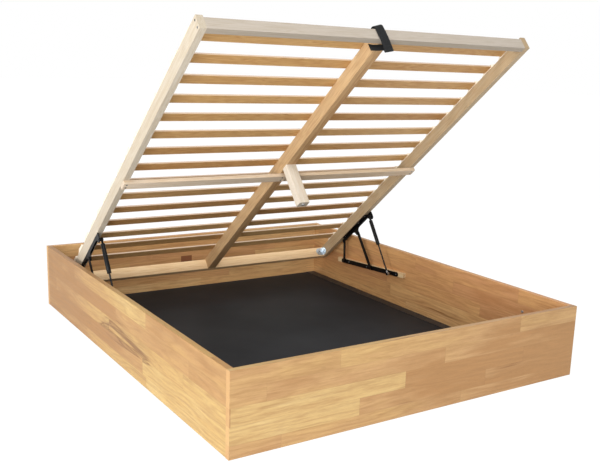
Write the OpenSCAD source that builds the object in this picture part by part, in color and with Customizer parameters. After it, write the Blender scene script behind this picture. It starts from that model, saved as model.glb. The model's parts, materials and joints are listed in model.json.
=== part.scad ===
// Tatami platform bed with a storage box under a lifting slatted base.
// Millimetres. X runs along the foot panel, Y from foot to head, Z up.
// The origin lies on the ground in the middle of the box.
// The slatted base is drawn raised, as the struts hold it.

/* [Box] */
// Mattress width, which the box takes between its side panels
inner_w = 1600; // [1400:10:2000]
// Mattress length, which the box takes between foot and head panel
inner_l = 2000; // [1900:10:2200]
// Height of the four panels
box_h = 310; // [300:5:360]
// Thickness of the glued panels
board_t = 25; // [20:1:32]
// Rounding of the long edges of the panels
board_edge_r = 2; // [1:0.5:4]
// Diameter of the dowels in the box corners
dowel_d = 10; // [8:1:12]
// Length of the dowels in the box corners
dowel_l = 50; // [40:2:60]

/* [Floor] */
// Thickness of the floor board
floor_t = 8; // [6:1:10]
// Gap between the floor board and the panels
floor_gap = 0.3; // [0.2:0.1:2]
// Width of the edging along the sides of the floor board
edging_w = 54; // [40:2:70]
// Thickness of the edging
edging_t = 2; // [1:0.5:3]

/* [Slatted base] */
// Gap between the slatted base and each side panel
side_gap = 30; // [28:1:40]
// Gap between the closed slatted base and the foot and head panels
end_gap = 30; // [24:1:40]
// Thickness of the side, foot and head rails
rail_t = 27; // [24:1:32]
// Height of the side, head and centre rails
rail_h = 56; // [50:1:65]
// Height of the foot rail, which leaves room for the strap
foot_rail_h = 48; // [42:1:50]
// Rounding of the two corners at the head end
corner_r = 24; // [10:1:24]
// Width of the centre rail
centre_w = 45; // [36:1:60]
// Width of the cross rail under the base
cross_w = 45; // [36:1:60]
// Thickness of the cross rail
cross_t = 18; // [14:1:22]
// Distance from the head end to the cross rail
cross_pos = 955; // [900:5:1000]

/* [Slats] */
// Width of a slat
slat_w = 50; // [40:1:60]
// Thickness of a slat
slat_t = 8; // [7:0.5:10]
// Distance from the foot end to the middle of the first slat
slat_foot_margin = 109; // [90:1:130]
// Distance from the head end to the middle of the last slat
slat_head_margin = 163; // [130:1:180]
// Thickness of the base of a slat holder, under the slat
holder_base = 4; // [3:0.5:6]
// Thickness of the other walls of a slat holder
holder_wall = 3; // [2:0.5:4]
// Depth of the pocket in a slat holder
pocket_depth = 24; // [18:1:26]
// Length of a slat holder along the rail, with its sloping shoulders
holder_l = 100; // [84:1:110]
// Radius of the two upper corners of a slat holder
holder_corner_r = 8; // [6:0.5:9]

/* [Middle leg] */
// Width of the leg across the bed
leg_w = 52; // [40:1:60]
// Depth of the leg along the bed
leg_d = 40; // [36:1:50]
// Gap between the cross rail and the leg
leg_gap = 34; // [20:1:60]
// Diameter of the glide under the leg
glide_d = 16; // [12:1:24]
// Thickness of the glide
glide_t = 3; // [2:0.5:5]

/* [Raised and closed] */
// Angle of the raised slatted base
open_angle = 39.5; // [36:0.5:42]
// Distance from the head panel to the head end of the raised base
open_back = 180; // [170:1:190]
// Height of the underside of the raised base at its head end
open_rise = 139; // [134:1:146]
// Height of the underside of the closed base
rest_rise = 212; // [206:1:216]

/* [Lifting fitting] */
// Length of the rear link, between its pivots
rear_link_l = 119; // [112:1:126]
// Length of the front link, between its pivots
front_link_l = 220; // [212:1:228]
// Distance from the head end to the rear pivot on the base
rear_pivot_s = 225; // [222:1:229]
// Depth of the rear pivot under the base
rear_pivot_drop = 11.5; // [10:0.5:13]
// Distance from the head end to the front pivot on the base
front_pivot_s = 371; // [366:1:376]
// Depth of the front pivot under the base
front_pivot_drop = 37; // [34:0.5:40]
// Distance from the head end to the strut pivot on the base
strut_pivot_s = 541; // [531:1:551]
// Depth of the strut pivot under the base
strut_pivot_drop = 30; // [28:0.5:33]
// Distance along the base rail from the front pivot to the strut's foot
strut_foot = 185; // [175:1:195]
// Thickness of the steel of rails, links and plates
steel_t = 4; // [3:0.5:5]
// Height of the base rail
base_rail_h = 24; // [20:1:26]
// Length of the base rail past the rear pivot
base_rail_back = 33; // [28:1:40]
// Length of the base rail past the strut's foot
base_rail_front = 54; // [40:1:60]
// Width of the rear link
rear_link_w = 17; // [16:1:20]
// Width of the front link
front_link_w = 20; // [18:1:24]
// Diameter of the pivot pins
pin_d = 8; // [7:0.5:9]
// Diameter of the heads and collars of the pivot pins
pin_head_d = 14; // [13:0.5:16]
// Height of the heads of the pivot pins
pin_head_h = 2; // [1.5:0.1:2.2]

/* [Strut] */
// Outer diameter of the strut's cylinder
cylinder_d = 20; // [18:1:22]
// Diameter of the strut's rod
rod_d = 8; // [7:0.5:10]
// Length of the cylinder from its eye to its lower end
cylinder_l = 165; // [155:1:175]
// Wall of the cylinder
cylinder_wall = 1.5; // [1:0.25:2]
// Width of the eyes at both ends of the strut
eye_w = 12; // [10:0.5:14]
// Outer diameter of the eyes
eye_d = 18; // [16:0.5:20]

/* [Battens] */
// Thickness of the battens that carry the lifting fittings
batten_t = 18; // [16:1:20]
// Height of the battens
batten_h = 26; // [24:1:36]
// Height of the batten above the centre line of the base rail
batten_up = 14; // [12:1:18]
// Length of the batten past each end of the base rail
batten_past = 42; // [30:1:60]

/* [Strap] */
// Width of the webbing
strap_w = 38; // [30:1:45]
// Thickness of the webbing
strap_t = 2.5; // [2:0.5:3]
// Length of the loose tail below the foot rail
strap_tail = 64; // [50:1:80]
// Height above the foot rail from which the strap arches over it
strap_rise = 2; // [0:0.5:8]
// Distance of the pull strap from the middle of the foot rail
strap_offset = 19; // [10:1:30]
// Length of the keeper strap across the centre rail
keeper_l = 84; // [70:1:100]
// Height over which the keeper strap hangs below the centre rail
keeper_drop = 32; // [26:1:38]
// Depth of the keeper strap's fold under the centre rail
keeper_fold = 24; // [16:1:30]

/* [Hidden] */
$fn = 48;
slat_count = 15;
// clearances
eps = 0.01;                 // overlap of shapes that make one solid
touch = 0.3;                // gap between parts that rest on each other
hole_fit = 0.05;            // radial play of a dowel, screw or pin in its hole
// box
outer_w = inner_w + 2 * board_t;
side_x = inner_w / 2;
head_y = inner_l / 2;
dowel_levels = [box_h / 6, box_h / 2, box_h * 5 / 6];
dowel_in_panel = 15;
// slatted base, seen from its head end: s runs to the foot, n up from the underside
base_w = inner_w - 2 * side_gap;
base_l = inner_l - 2 * end_gap;
rail_out_x = base_w / 2;
rail_in_x = rail_out_x - rail_t;
rail_mid_x = rail_out_x - rail_t / 2;
slat_pitch = (base_l - slat_foot_margin - slat_head_margin) / (slat_count - 1);
slat_n = rail_h + holder_base;
pocket_gap = 0.2;
slat_l = 2 * (rail_in_x + pocket_depth - pocket_gap);
holder_h = holder_base + slat_t + 2 * pocket_gap + holder_wall;
holder_w = slat_w + 2 * pocket_gap + 2 * holder_wall;
holder_peg_d = 8;
holder_peg_l = 10;
// middle leg
leg_s = cross_pos + cross_w + leg_gap + leg_d / 2;
leg_l = rest_rise - floor_t - glide_t - touch;
leg_stud_d = 8;
leg_stud_in = 30;
glide_pin_d = 4;
glide_pin_l = 16;
// raised and closed place of the base's head end
open_y = head_y - open_back;
rest_y = head_y - end_gap;
// planes of the lifting fitting, counted inwards from the side panel
rail_face_x = side_x - batten_t;                // base rail lies on the batten
link_gap = 3;                                   // collar between base rail and links
link_out_x = rail_face_x - steel_t - link_gap;
link_in_x = link_out_x - steel_t;
plate_gap = 2;                                  // collar between links and plate
plate_out_x = link_in_x - plate_gap;
plate_in_x = plate_out_x - steel_t;
strut_x = plate_in_x - 6 - eye_w / 2;
collar_play = 0.2;
// points of the fitting on the raised and on the closed base
function on_base(s, n, y, z, a) = [y - s * cos(a) + n * sin(a), z + s * sin(a) + n * cos(a)];
function raised(s, n) = on_base(s, n, open_y, open_rise, open_angle);
function closed(s, n) = on_base(s, n, rest_y, rest_rise, 0);
// the fixed pivot of a link: on the line midway between the raised and the closed
// place of its moving pivot, so that the link reaches both
function fixed_pivot(a, b, l) = let (c = b - a, d = norm(c))
    (a + b) / 2 + [c[1], -c[0]] / d * sqrt(l * l - d * d / 4);
function angle_of(v) = atan2(v[1], v[0]);
rear_top = raised(rear_pivot_s, -rear_pivot_drop);
front_top = raised(front_pivot_s, -front_pivot_drop);
strut_top = raised(strut_pivot_s, -strut_pivot_drop);
rear_foot = fixed_pivot(rear_top, closed(rear_pivot_s, -rear_pivot_drop), rear_link_l);
front_foot = fixed_pivot(front_top, closed(front_pivot_s, -front_pivot_drop), front_link_l);
pivot_span = norm(front_foot - rear_foot);
rail_dir = (front_foot - rear_foot) / pivot_span;
rail_tilt = 180 - angle_of(rail_dir);
strut_low = front_foot + rail_dir * strut_foot;
strut_l = norm(strut_top - strut_low);
strut_rest_l = norm(closed(strut_pivot_s, -strut_pivot_drop) - strut_low);
strut_travel = strut_l - strut_rest_l;
base_rail_l = base_rail_back + pivot_span + strut_foot + base_rail_front;
// screws of the base rail, counted from its rear end
screw_from_pin = 42;
screw_from_end = 14;
base_rail_screws = [
    base_rail_back + screw_from_pin, base_rail_back + pivot_span - screw_from_pin,
    base_rail_l - screw_from_end];
// strut
neck_l = 8;                 // from the eye of the rod end to the rod
cap_l = 12;                 // from the eye of the cylinder to the cylinder
end_wall = 4;               // closed end of the cylinder
piston_rest = 1;            // piston to closed end when the base is down
rod_l = strut_rest_l - eye_d - neck_l - cap_l - end_wall - piston_rest;
guide_l = 12;
piston_l = 8;
piston_play = 0.3;
// screws
screw_d = 4.5;
screw_head_d = 9;
screw_head_h = 2.4;
frame_screw_l = 55;
plate_screw_l = 22;
rail_screw_l = 14;
cross_screw_l = cross_t + 24;
bracket_screw_l = 16;
rest_screw_l = 16;
// plate of the lifting fitting under the side rail
plate_web_h = 18;
plate_fillet = 26;
plate_top_gap = 1;
plate_corner_r = 5;
flange_w = 20;
front_lug_r = 13;
strut_lug_r = 14;
flange_from = rear_pivot_s + 25;
flange_to = strut_pivot_s - 25;
plate_screws_s = [flange_from + 20, (flange_from + flange_to) / 2 + 45, flange_to - 15];
// lower end of the pull strap behind the foot rail, in a rebate of the centre rail
strap_low = 19;
// corner brackets at the head end
bracket_t = 2;
bracket_h = 44;
bracket_long = 48;
bracket_short = 34;
bracket_n = (rail_h - bracket_h) / 2;
// rests in the foot corners
rest_block_l = 130;
rest_block_w = end_gap + rail_t - 2;
rest_block_h = 34;
// buffers on the side panels
buffer_y = 255 - head_y;
buffer_z = rest_rise + 2;
buffer_d = 12;
buffer_h = 5;

// ---------- helpers ----------

// Points of an arc round c, from one angle to the other, its two ends included
function arc(c, r, from, to, steps) = [for (i = [0:steps])
    let (a = from + (to - from) * i / steps) c + r * [cos(a), sin(a)]];

// Rectangle with four round corners
module round_rect(w, h, r) {
    translate([r, 0]) square([w - 2 * r, h]);
    translate([0, r]) square([w, h - 2 * r]);
    for (x = [r, w - r], y = [r, h - r]) translate([x, y]) circle(r);
}

// Board lying along Y with a section w by h, its long edges rounded
module board_y(w, l, h, r) rotate([-90, 0, 0]) mirror([0, 1, 0]) linear_extrude(l) round_rect(w, h, r);

// Board lying along X with a section d by h, its long edges rounded
module board_x(l, d, h, r) rotate([90, 0, 90]) linear_extrude(l) round_rect(d, h, r);

// Flat bar with round ends between the points 0 and l on the first axis, with its pin holes
module link_outline(l, w, holes) difference() {
    union() {
        translate([0, -w / 2]) square([l, w]);
        for (x = [0, l]) translate([x, 0]) circle(d = w);
    }
    for (x = holes) translate([x, 0]) circle(d = pin_d + 2 * hole_fit);
}

// Both sides of the bed
module both_sides() {
    children();
    mirror([1, 0, 0]) children();
}

// Places parts drawn with their Y along minus s and Z along n on the raised base
module on_raised_base() translate([0, open_y, open_rise]) rotate([-open_angle, 0, 0]) children();

// Places a shape drawn in the plane (distance, height), extruded inwards from x_out, on a line
module in_side_plane(x_out, t, p, a) translate([x_out - t, p[0], p[1]]) rotate([a, 0, 0])
    rotate([90, 0, 90]) linear_extrude(t) children();

// Screw along +Z, its head below zero
module pan_screw(l) {
    translate([0, 0, -screw_head_h]) cylinder(d1 = screw_head_d - 2, d2 = screw_head_d, h = 1);
    translate([0, 0, 1 - screw_head_h]) cylinder(d = screw_head_d, h = screw_head_h - 1);
    translate([0, 0, -eps]) cylinder(d = screw_d, h = l + eps);
}

// Countersunk screw along +Z, its head flush at zero
module flat_screw(l) {
    cylinder(d1 = screw_head_d, d2 = screw_d, h = screw_head_h);
    cylinder(d = screw_d, h = l);
}

// Hole for a screw of either kind
module screw_hole(l) translate([0, 0, -eps]) cylinder(d = screw_d + 2 * hole_fit, h = l + 0.5);

module flat_screw_hole(l) {
    screw_hole(l);
    translate([0, 0, -eps]) cylinder(d1 = screw_head_d + 0.3, d2 = screw_d + 0.3, h = screw_head_h);
}

// ---------- box ----------

module dowel_places() both_sides() for (end = [-1, 1], z = dowel_levels)
    translate([side_x + board_t / 2, end * head_y, z]) rotate([-90 * end, 0, 0])
        translate([0, 0, dowel_in_panel - dowel_l]) children();

module dowel_holes() dowel_places() translate([0, 0, -0.5])
    cylinder(d = dowel_d + 2 * hole_fit, h = dowel_l + 1);

module corner_dowels() color("burlywood") dowel_places() cylinder(d = dowel_d, h = dowel_l);

module end_panel() translate([-outer_w / 2, 0, 0]) board_x(outer_w, board_t, box_h, board_edge_r);

module panel_foot() color("tan") difference() {
    translate([0, -head_y - board_t, 0]) end_panel();
    dowel_holes();
    rest_screws(true);
}

module panel_head() color("tan") difference() {
    translate([0, head_y, 0]) end_panel();
    dowel_holes();
}

module side_panel() difference() {
    translate([side_x, -head_y, 0]) board_y(board_t, inner_l, box_h, board_edge_r);
    dowel_holes();
    buffer_places() translate([0, 0, -6.5]) cylinder(d = screw_d + 2 * hole_fit, h = 7);
}

module panel_right() color("tan") side_panel();

module panel_left() color("tan") mirror([1, 0, 0]) side_panel();

module buffer_places() translate([side_x, buffer_y, buffer_z]) rotate([0, -90, 0]) children();

module side_buffers() color("dimgray") both_sides() buffer_places() {
    cylinder(d1 = buffer_d, d2 = buffer_d - 3, h = buffer_h);
    translate([0, 0, -6]) cylinder(d = screw_d, h = 6 + eps);
}

module floor_board() color([0.17, 0.19, 0.2])
    translate([floor_gap - side_x, floor_gap - head_y, 0])
        cube([inner_w - 2 * floor_gap, inner_l - 2 * floor_gap, floor_t]);

module floor_edging() color([0.12, 0.12, 0.14]) both_sides()
    translate([side_x - floor_gap - edging_w, floor_gap - head_y, floor_t])
        cube([edging_w, inner_l - 2 * floor_gap, edging_t]);

// Corner blocks at the foot, on which the closed base lies
module foot_rest() difference() {
    translate([side_x - rest_block_l, -head_y, rest_rise - touch - rest_block_h])
        cube([rest_block_l, rest_block_w, rest_block_h]);
    rest_screws(true);
}

module foot_rest_right() color("burlywood") foot_rest();

module foot_rest_left() color("burlywood") mirror([1, 0, 0]) foot_rest();

// Two screws through each corner block into the foot panel
module rest_screws(hole) both_sides() for (x = [25, rest_block_l - 25])
    translate([side_x - x, -head_y + rest_block_w, rest_rise - touch - rest_block_h / 2])
        rotate([90, 0, 0]) if (hole) screw_hole(rest_block_w + rest_screw_l);
            else pan_screw(rest_block_w + rest_screw_l);

// ---------- fixed half of the lifting fitting ----------

// Draws children with X along the base rail from its rear end, Y up, on the plane x_out
module along_base_rail(x_out, t) in_side_plane(x_out, t, rear_foot - rail_dir * base_rail_back, -rail_tilt)
    mirror([1, 0, 0]) children();

module batten() difference() {
    along_base_rail(side_x, batten_t) translate([-batten_past, batten_up - batten_h])
        round_rect(base_rail_l + 2 * batten_past, batten_h, 3);
    rail_screws(true);
}

module batten_right() color("wheat") batten();

module batten_left() color("wheat") mirror([1, 0, 0]) batten();

// Flat bar with round ends, with the holes for its pins and screws
module base_rail() along_base_rail(rail_face_x, steel_t) difference() {
    end_r = base_rail_h / 2;
    pins = [base_rail_back, base_rail_back + pivot_span, base_rail_back + pivot_span + strut_foot];
    polygon(concat(
        arc([end_r, 0], end_r, 90, 270, 16), arc([base_rail_l - end_r, 0], end_r, -90, 90, 16)));
    for (x = pins) translate([x, 0]) circle(d = pin_d + 2 * hole_fit);
    for (x = base_rail_screws) translate([x, 0]) circle(d = screw_d + 2 * hole_fit);
}

module base_rail_right() color([0.1, 0.1, 0.1]) base_rail();

module base_rail_left() color([0.1, 0.1, 0.1]) mirror([1, 0, 0]) base_rail();

// Screws through the base rail into the batten
module rail_screws(hole) for (x = base_rail_screws) {
    p = rear_foot + rail_dir * (x - base_rail_back);
    translate([rail_face_x - steel_t, p[0], p[1]]) rotate([0, 90, 0])
        if (hole) screw_hole(steel_t + rail_screw_l); else pan_screw(steel_t + rail_screw_l);
}

module box_screws() color([0.25, 0.25, 0.27]) {
    both_sides() rail_screws(false);
    rest_screws(false);
}

// Pin along X from x_low to x_high at the point p
module pin_between(x_low, x_high, p, d) translate([x_low, p[0], p[1]]) rotate([0, 90, 0])
    cylinder(d = d, h = x_high - x_low);

// Riveted pins of the base rail: a collar, the shank and a head on the link's inner face
module base_pins() color([0.2, 0.2, 0.2]) both_sides() {
    for (p = [rear_foot, front_foot]) {
        pin_between(link_in_x - collar_play, rail_face_x, p, pin_d);
        pin_between(link_in_x - collar_play - pin_head_h, link_in_x - collar_play, p, pin_head_d);
        pin_between(link_out_x + collar_play, rail_face_x - steel_t - eps, p, pin_head_d);
    }
    pin_between(strut_x - eye_w / 2 - 1, rail_face_x, strut_low, pin_d);
    pin_between(strut_x - eye_w / 2 - 1 - pin_head_h, strut_x - eye_w / 2 - 1, strut_low, pin_head_d);
    pin_between(strut_x + eye_w / 2 + collar_play, rail_face_x - steel_t - eps, strut_low, pin_head_d);
}

// ---------- moving links and struts ----------

module rear_link() in_side_plane(link_out_x, steel_t, rear_foot, angle_of(rear_top - rear_foot)) {
    link_outline(rear_link_l, rear_link_w, [0, rear_link_l]);
}

module rear_link_right() color([0.1, 0.1, 0.1]) rear_link();

module rear_link_left() color([0.1, 0.1, 0.1]) mirror([1, 0, 0]) rear_link();

module front_link() in_side_plane(link_out_x, steel_t, front_foot, angle_of(front_top - front_foot))
    link_outline(front_link_l, front_link_w, [0, front_link_l]);

module front_link_right() color([0.1, 0.1, 0.1]) front_link();

module front_link_left() color([0.1, 0.1, 0.1]) mirror([1, 0, 0]) front_link();

// Draws children with Z along the strut, from its lower pivot
module along_strut() translate([strut_x, strut_low[0], strut_low[1]])
    rotate([angle_of(strut_top - strut_low) - 90, 0, 0]) children();

// Flat eye across the strut, its bore along X
module strut_eye(z, neck, neck_d) difference() {
    union() {
        translate([-eye_w / 2, 0, z]) rotate([0, 90, 0]) cylinder(d = eye_d, h = eye_w);
        translate([0, 0, min(z, z + neck)]) cylinder(d = neck_d, h = abs(neck));
    }
    translate([-eye_w, 0, z]) rotate([0, 90, 0]) cylinder(d = pin_d + 2 * hole_fit, h = 2 * eye_w);
}

module strut_cylinder() along_strut() {
    tube_from = strut_l - cylinder_l;
    tube_to = strut_l - eye_d / 2 - cap_l;
    difference() {
        translate([0, 0, tube_from]) cylinder(d = cylinder_d, h = tube_to - tube_from);
        translate([0, 0, tube_from + guide_l])
            cylinder(d = cylinder_d - 2 * cylinder_wall, h = tube_to - tube_from - guide_l - end_wall);
        translate([0, 0, tube_from - eps]) cylinder(d = rod_d + 4 * hole_fit, h = guide_l + 1);
    }
    strut_eye(strut_l, -eye_d / 2 - cap_l - eps, pin_d + 2);
}

module strut_cylinder_right() color([0.1, 0.1, 0.1]) strut_cylinder();

module strut_cylinder_left() color([0.1, 0.1, 0.1]) mirror([1, 0, 0]) strut_cylinder();

module strut_rod() along_strut() {
    translate([0, 0, eye_d / 2 + neck_l]) cylinder(d = rod_d, h = rod_l);
    translate([0, 0, eye_d / 2 + neck_l + rod_l - piston_l])
        cylinder(d = cylinder_d - 2 * cylinder_wall - 2 * piston_play, h = piston_l);
}

module strut_rod_right() color("silver") strut_rod();

module strut_rod_left() color("silver") mirror([1, 0, 0]) strut_rod();

module strut_end() along_strut() strut_eye(0, eye_d / 2 + neck_l, rod_d + 3);

module strut_end_right() color("gainsboro") strut_end();

module strut_end_left() color("gainsboro") mirror([1, 0, 0]) strut_end();

// ---------- slatted base, drawn with Y = -s and Z = n ----------

module side_rail() difference() {
    translate([rail_in_x, -base_l, 0]) linear_extrude(rail_h) {
        square([rail_t, base_l - corner_r]);
        square([rail_t - corner_r, base_l]);
        translate([rail_t - corner_r, base_l - corner_r]) intersection() {
            circle(corner_r);
            square(corner_r);
        }
    }
    holder_places() translate([0, 0, -holder_peg_l - 0.5])
        cylinder(d = holder_peg_d + 2 * hole_fit, h = holder_peg_l + 1);
    foot_corner_screws(true);
    cross_screws(true);
    plate_screw_set(true);
    bracket_screws(true);
}

module side_rail_right() color([0.93, 0.82, 0.68]) on_raised_base() side_rail();

module side_rail_left() color([0.93, 0.82, 0.68]) on_raised_base() mirror([1, 0, 0]) side_rail();

module foot_rail() color([0.85, 0.78, 0.68]) on_raised_base() difference() {
    translate([-rail_in_x, -base_l, 0]) board_x(2 * rail_in_x, rail_t, foot_rail_h, 1.5);
    both_sides() foot_corner_screws(true);
}

module head_rail() color([0.93, 0.82, 0.68]) on_raised_base() difference() {
    translate([-rail_in_x, -rail_t, 0]) board_x(2 * rail_in_x, rail_t, rail_h, 1.5);
    both_sides() bracket_screws(true);
}

module centre_rail() color([0.86, 0.72, 0.52]) on_raised_base() difference() {
    translate([-centre_w / 2, rail_t - base_l, 0])
        board_y(centre_w, base_l - 2 * rail_t, slat_n - touch, 1.5);
    both_sides() cross_screws(true);
    leg_stud(true);
    translate([-strap_offset - strap_w / 2 - touch, rail_t - base_l - eps, strap_low - touch])
        cube([strap_w + 2 * touch, strap_t + 2 * touch, slat_n]);
}

module cross_rail() color([0.93, 0.84, 0.72]) on_raised_base() difference() {
    translate([-rail_out_x, -cross_pos - cross_w, -cross_t]) board_x(2 * rail_out_x, cross_w, cross_t, 1.5);
    both_sides() cross_screws(true);
}

function slat_s(i) = base_l - slat_foot_margin - (i - 1) * slat_pitch;

module slat(i) color([0.8, 0.62, 0.4]) on_raised_base()
    translate([-slat_l / 2, -slat_s(i) - slat_w / 2, slat_n + pocket_gap])
        board_x(slat_l, slat_w, slat_t, 2);

// Middle of each slat holder on top of the right side rail
module holder_places() for (i = [1:slat_count])
    translate([rail_mid_x, -slat_s(i), rail_h]) children();

// Outline of a holder along the rail: round upper corners, and a straight shoulder from each
// corner down to the rail
module holder_outline() {
    r = holder_corner_r;
    corner = [holder_w / 2 - r + 1.5, holder_h - r];
    shoulder = [corner[0] - holder_l / 2, corner[1]];
    leaves = atan2(shoulder[1], shoulder[0]) - asin(r / norm(shoulder)) - 90;
    polygon(concat(
        [[holder_l / 2, 0]], arc(corner, r, leaves, 90, 10),
        arc([-corner[0], corner[1]], r, 90, 180 - leaves, 10), [[-holder_l / 2, 0]]));
}

// Holder with a pocket that opens towards the middle of the bed, and a peg in the rail
module holders() holder_places() {
    translate([-rail_t / 2, 0, 0]) difference() {
        rotate([90, 0, 90]) linear_extrude(rail_t) holder_outline();
        translate([-eps, -slat_w / 2 - pocket_gap, holder_base])
            cube([pocket_depth, slat_w + 2 * pocket_gap, slat_t + 2 * pocket_gap]);
    }
    translate([0, 0, -holder_peg_l]) cylinder(d = holder_peg_d, h = holder_peg_l + eps);
}

module holders_right() color([0.95, 0.86, 0.72]) on_raised_base() holders();

module holders_left() color([0.95, 0.86, 0.72]) on_raised_base() mirror([1, 0, 0]) holders();

module leg() color([0.93, 0.86, 0.76]) on_raised_base() difference() {
    translate([-leg_w / 2, -leg_s - leg_d / 2, -leg_l]) linear_extrude(leg_l) round_rect(leg_w, leg_d, 3);
    leg_stud(true);
    translate([0, -leg_s, -leg_l - eps]) cylinder(d = glide_pin_d + 2 * hole_fit, h = glide_pin_l + 0.5);
}

module leg_glide() color("silver") on_raised_base() translate([0, -leg_s, -leg_l - glide_t]) {
    cylinder(d1 = glide_d - 3, d2 = glide_d, h = glide_t);
    cylinder(d = glide_pin_d, h = glide_t + glide_pin_l);
}

// Threaded stud that holds the leg under the centre rail
module leg_stud(hole) translate([0, -leg_s, -leg_stud_in - (hole ? 0.5 : 0)])
    cylinder(d = leg_stud_d + (hole ? 2 * hole_fit : 0), h = 2 * leg_stud_in + (hole ? 1 : 0));

// Angle bracket in a head corner, with round ends
module corner_bracket() difference() {
    union() {
        translate([rail_in_x, -rail_t, bracket_n]) rotate([90, 0, 0]) linear_extrude(bracket_t)
            bracket_leg(bracket_long);
        translate([rail_in_x - bracket_t, -rail_t, bracket_n]) rotate([90, 0, 90]) linear_extrude(bracket_t)
            bracket_leg(bracket_short);
    }
    bracket_screws(true);
}

// Leg of the bracket, square at the corner and half round at its far end
module bracket_leg(l) let (r = bracket_h / 2)
    polygon(concat([[0, 0], [0, bracket_h]], arc([r - l, r], r, 90, 270, 20)));

// Screws of the bracket: one into the head rail, one into the side rail
module bracket_screws(hole) {
    translate([rail_in_x - bracket_long / 2, -rail_t - bracket_t, rail_h / 2]) rotate([-90, 0, 0])
        if (hole) screw_hole(bracket_t + bracket_screw_l); else pan_screw(bracket_t + bracket_screw_l);
    translate([rail_in_x - bracket_t, -rail_t - bracket_short * 0.6, rail_h / 2]) rotate([0, 90, 0])
        if (hole) screw_hole(bracket_t + bracket_screw_l); else pan_screw(bracket_t + bracket_screw_l);
}

module corner_brackets() color("gainsboro") on_raised_base() both_sides() corner_bracket();

// Two screws through each side rail into the foot rail
module foot_corner_screws(hole) for (n = [13, foot_rail_h - 5])
    translate([rail_out_x, rail_t / 2 - base_l, n]) rotate([0, -90, 0])
        if (hole) flat_screw_hole(frame_screw_l); else flat_screw(frame_screw_l);

// Screws through the cross rail into one side rail and the centre rail
module cross_screws(hole) for (x = [rail_mid_x, centre_w / 4], s = [12, cross_w - 12])
    translate([x, -cross_pos - s, -cross_t]) if (hole) flat_screw_hole(cross_screw_l);
        else flat_screw(cross_screw_l);

module frame_screws() color([0.3, 0.3, 0.32]) on_raised_base() {
    both_sides() {
        foot_corner_screws(false);
        cross_screws(false);
        bracket_screws(false);
    }
    leg_stud(false);
}

// ---------- plate of the lifting fitting under the side rail ----------

// Height of the fillets' centres under the strip, and their distance from a lug's middle
fillet_n = -plate_web_h - plate_fillet;
function fillet_dx(p, r) = sqrt(pow(r + plate_fillet, 2) - pow(p[1] - fillet_n, 2));
// Angle at which a fillet meets the lug round p
function lug_angle(p, r) = atan2(p[1] - fillet_n, fillet_dx(p, r));

// Fillet that leads from the strip's lower edge down to the lug, and the one that leads back
function fillet_down(p, r) = let (a = lug_angle(p, r))
    arc([p[0] - fillet_dx(p, r), fillet_n], plate_fillet, 90, a + 2, 8);
function fillet_up(p, r) = let (a = lug_angle(p, r))
    arc([p[0] + fillet_dx(p, r), fillet_n], plate_fillet, 178 - a, 90, 8);

// Outline of the plate: X along s, Y along n. The strip has a round rear end, a front lug
// and a strut lug that runs up to the front corner.
module plate_outline() {
    rear = [rear_pivot_s, -rear_pivot_drop];
    front = [front_pivot_s, -front_pivot_drop];
    stud = [strut_pivot_s, -strut_pivot_drop];
    rear_r = rear_pivot_drop - plate_top_gap;
    rear_end = 360 - asin((plate_web_h - rear_pivot_drop) / rear_r);
    difference() {
        polygon(concat(
            arc(rear, rear_r, 90, rear_end, 20),
            fillet_down(front, front_lug_r),
            arc(front, front_lug_r, 180 + lug_angle(front, front_lug_r),
                360 - lug_angle(front, front_lug_r), 20),
            fillet_up(front, front_lug_r),
            fillet_down(stud, strut_lug_r),
            arc(stud, strut_lug_r, 180 + lug_angle(stud, strut_lug_r), 360, 16),
            arc([strut_pivot_s + strut_lug_r - plate_corner_r, -plate_top_gap - plate_corner_r],
                plate_corner_r, 0, 90, 8)));
        for (p = [rear, front, stud]) translate(p) circle(d = pin_d + 2 * hole_fit);
    }
}

module lid_plate() difference() {
    union() {
        translate([plate_in_x, 0, 0]) rotate([90, 0, 90]) linear_extrude(steel_t)
            mirror([1, 0, 0]) plate_outline();
        translate([plate_out_x - flange_w, -flange_to, -steel_t]) linear_extrude(steel_t) {
            translate([0, 6]) square([flange_w, flange_to - flange_from - 12]);
            translate([6, 0]) square([flange_w - 6, flange_to - flange_from]);
            for (y = [6, flange_to - flange_from - 6]) translate([6, y]) circle(6);
        }
    }
    plate_screw_set(true);
}

module lid_plate_right() color([0.1, 0.1, 0.1]) on_raised_base() lid_plate();

module lid_plate_left() color([0.1, 0.1, 0.1]) on_raised_base() mirror([1, 0, 0]) lid_plate();

module plate_screw_set(hole) for (s = plate_screws_s)
    translate([plate_out_x - flange_w / 2 - 2, -s, -steel_t])
        if (hole) screw_hole(steel_t + plate_screw_l); else pan_screw(steel_t + plate_screw_l);

module plate_screws() color([0.25, 0.25, 0.27]) on_raised_base() both_sides() plate_screw_set(false);

// Riveted pins of the plate. The front pin passes through its link. The rear pin and the
// strut's stud stop just short of the link and the eye that they meet.
module plate_pins() color([0.2, 0.2, 0.2]) on_raised_base() both_sides() {
    front = [-front_pivot_s, -front_pivot_drop];
    rear = [-rear_pivot_s, -rear_pivot_drop];
    stud = [-strut_pivot_s, -strut_pivot_drop];
    pin_between(plate_in_x - pin_head_h, link_out_x + collar_play, front, pin_d);
    pin_between(plate_out_x + eps, link_in_x - collar_play, front, pin_head_d);
    pin_between(link_out_x + collar_play, link_out_x + collar_play + pin_head_h, front, pin_head_d);
    pin_between(plate_in_x - pin_head_h, plate_in_x - eps, front, pin_head_d);
    pin_between(plate_in_x - pin_head_h, link_in_x - touch, rear, pin_d);
    pin_between(plate_out_x + eps, link_in_x - touch, rear, pin_head_d);
    pin_between(plate_in_x - pin_head_h, plate_in_x - eps, rear, pin_head_d);
    pin_between(strut_x + eye_w / 2 + touch, plate_out_x + 1.5, stud, pin_d);
    pin_between(strut_x + eye_w / 2 + touch, plate_in_x - eps, stud, pin_head_d);
}

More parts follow.
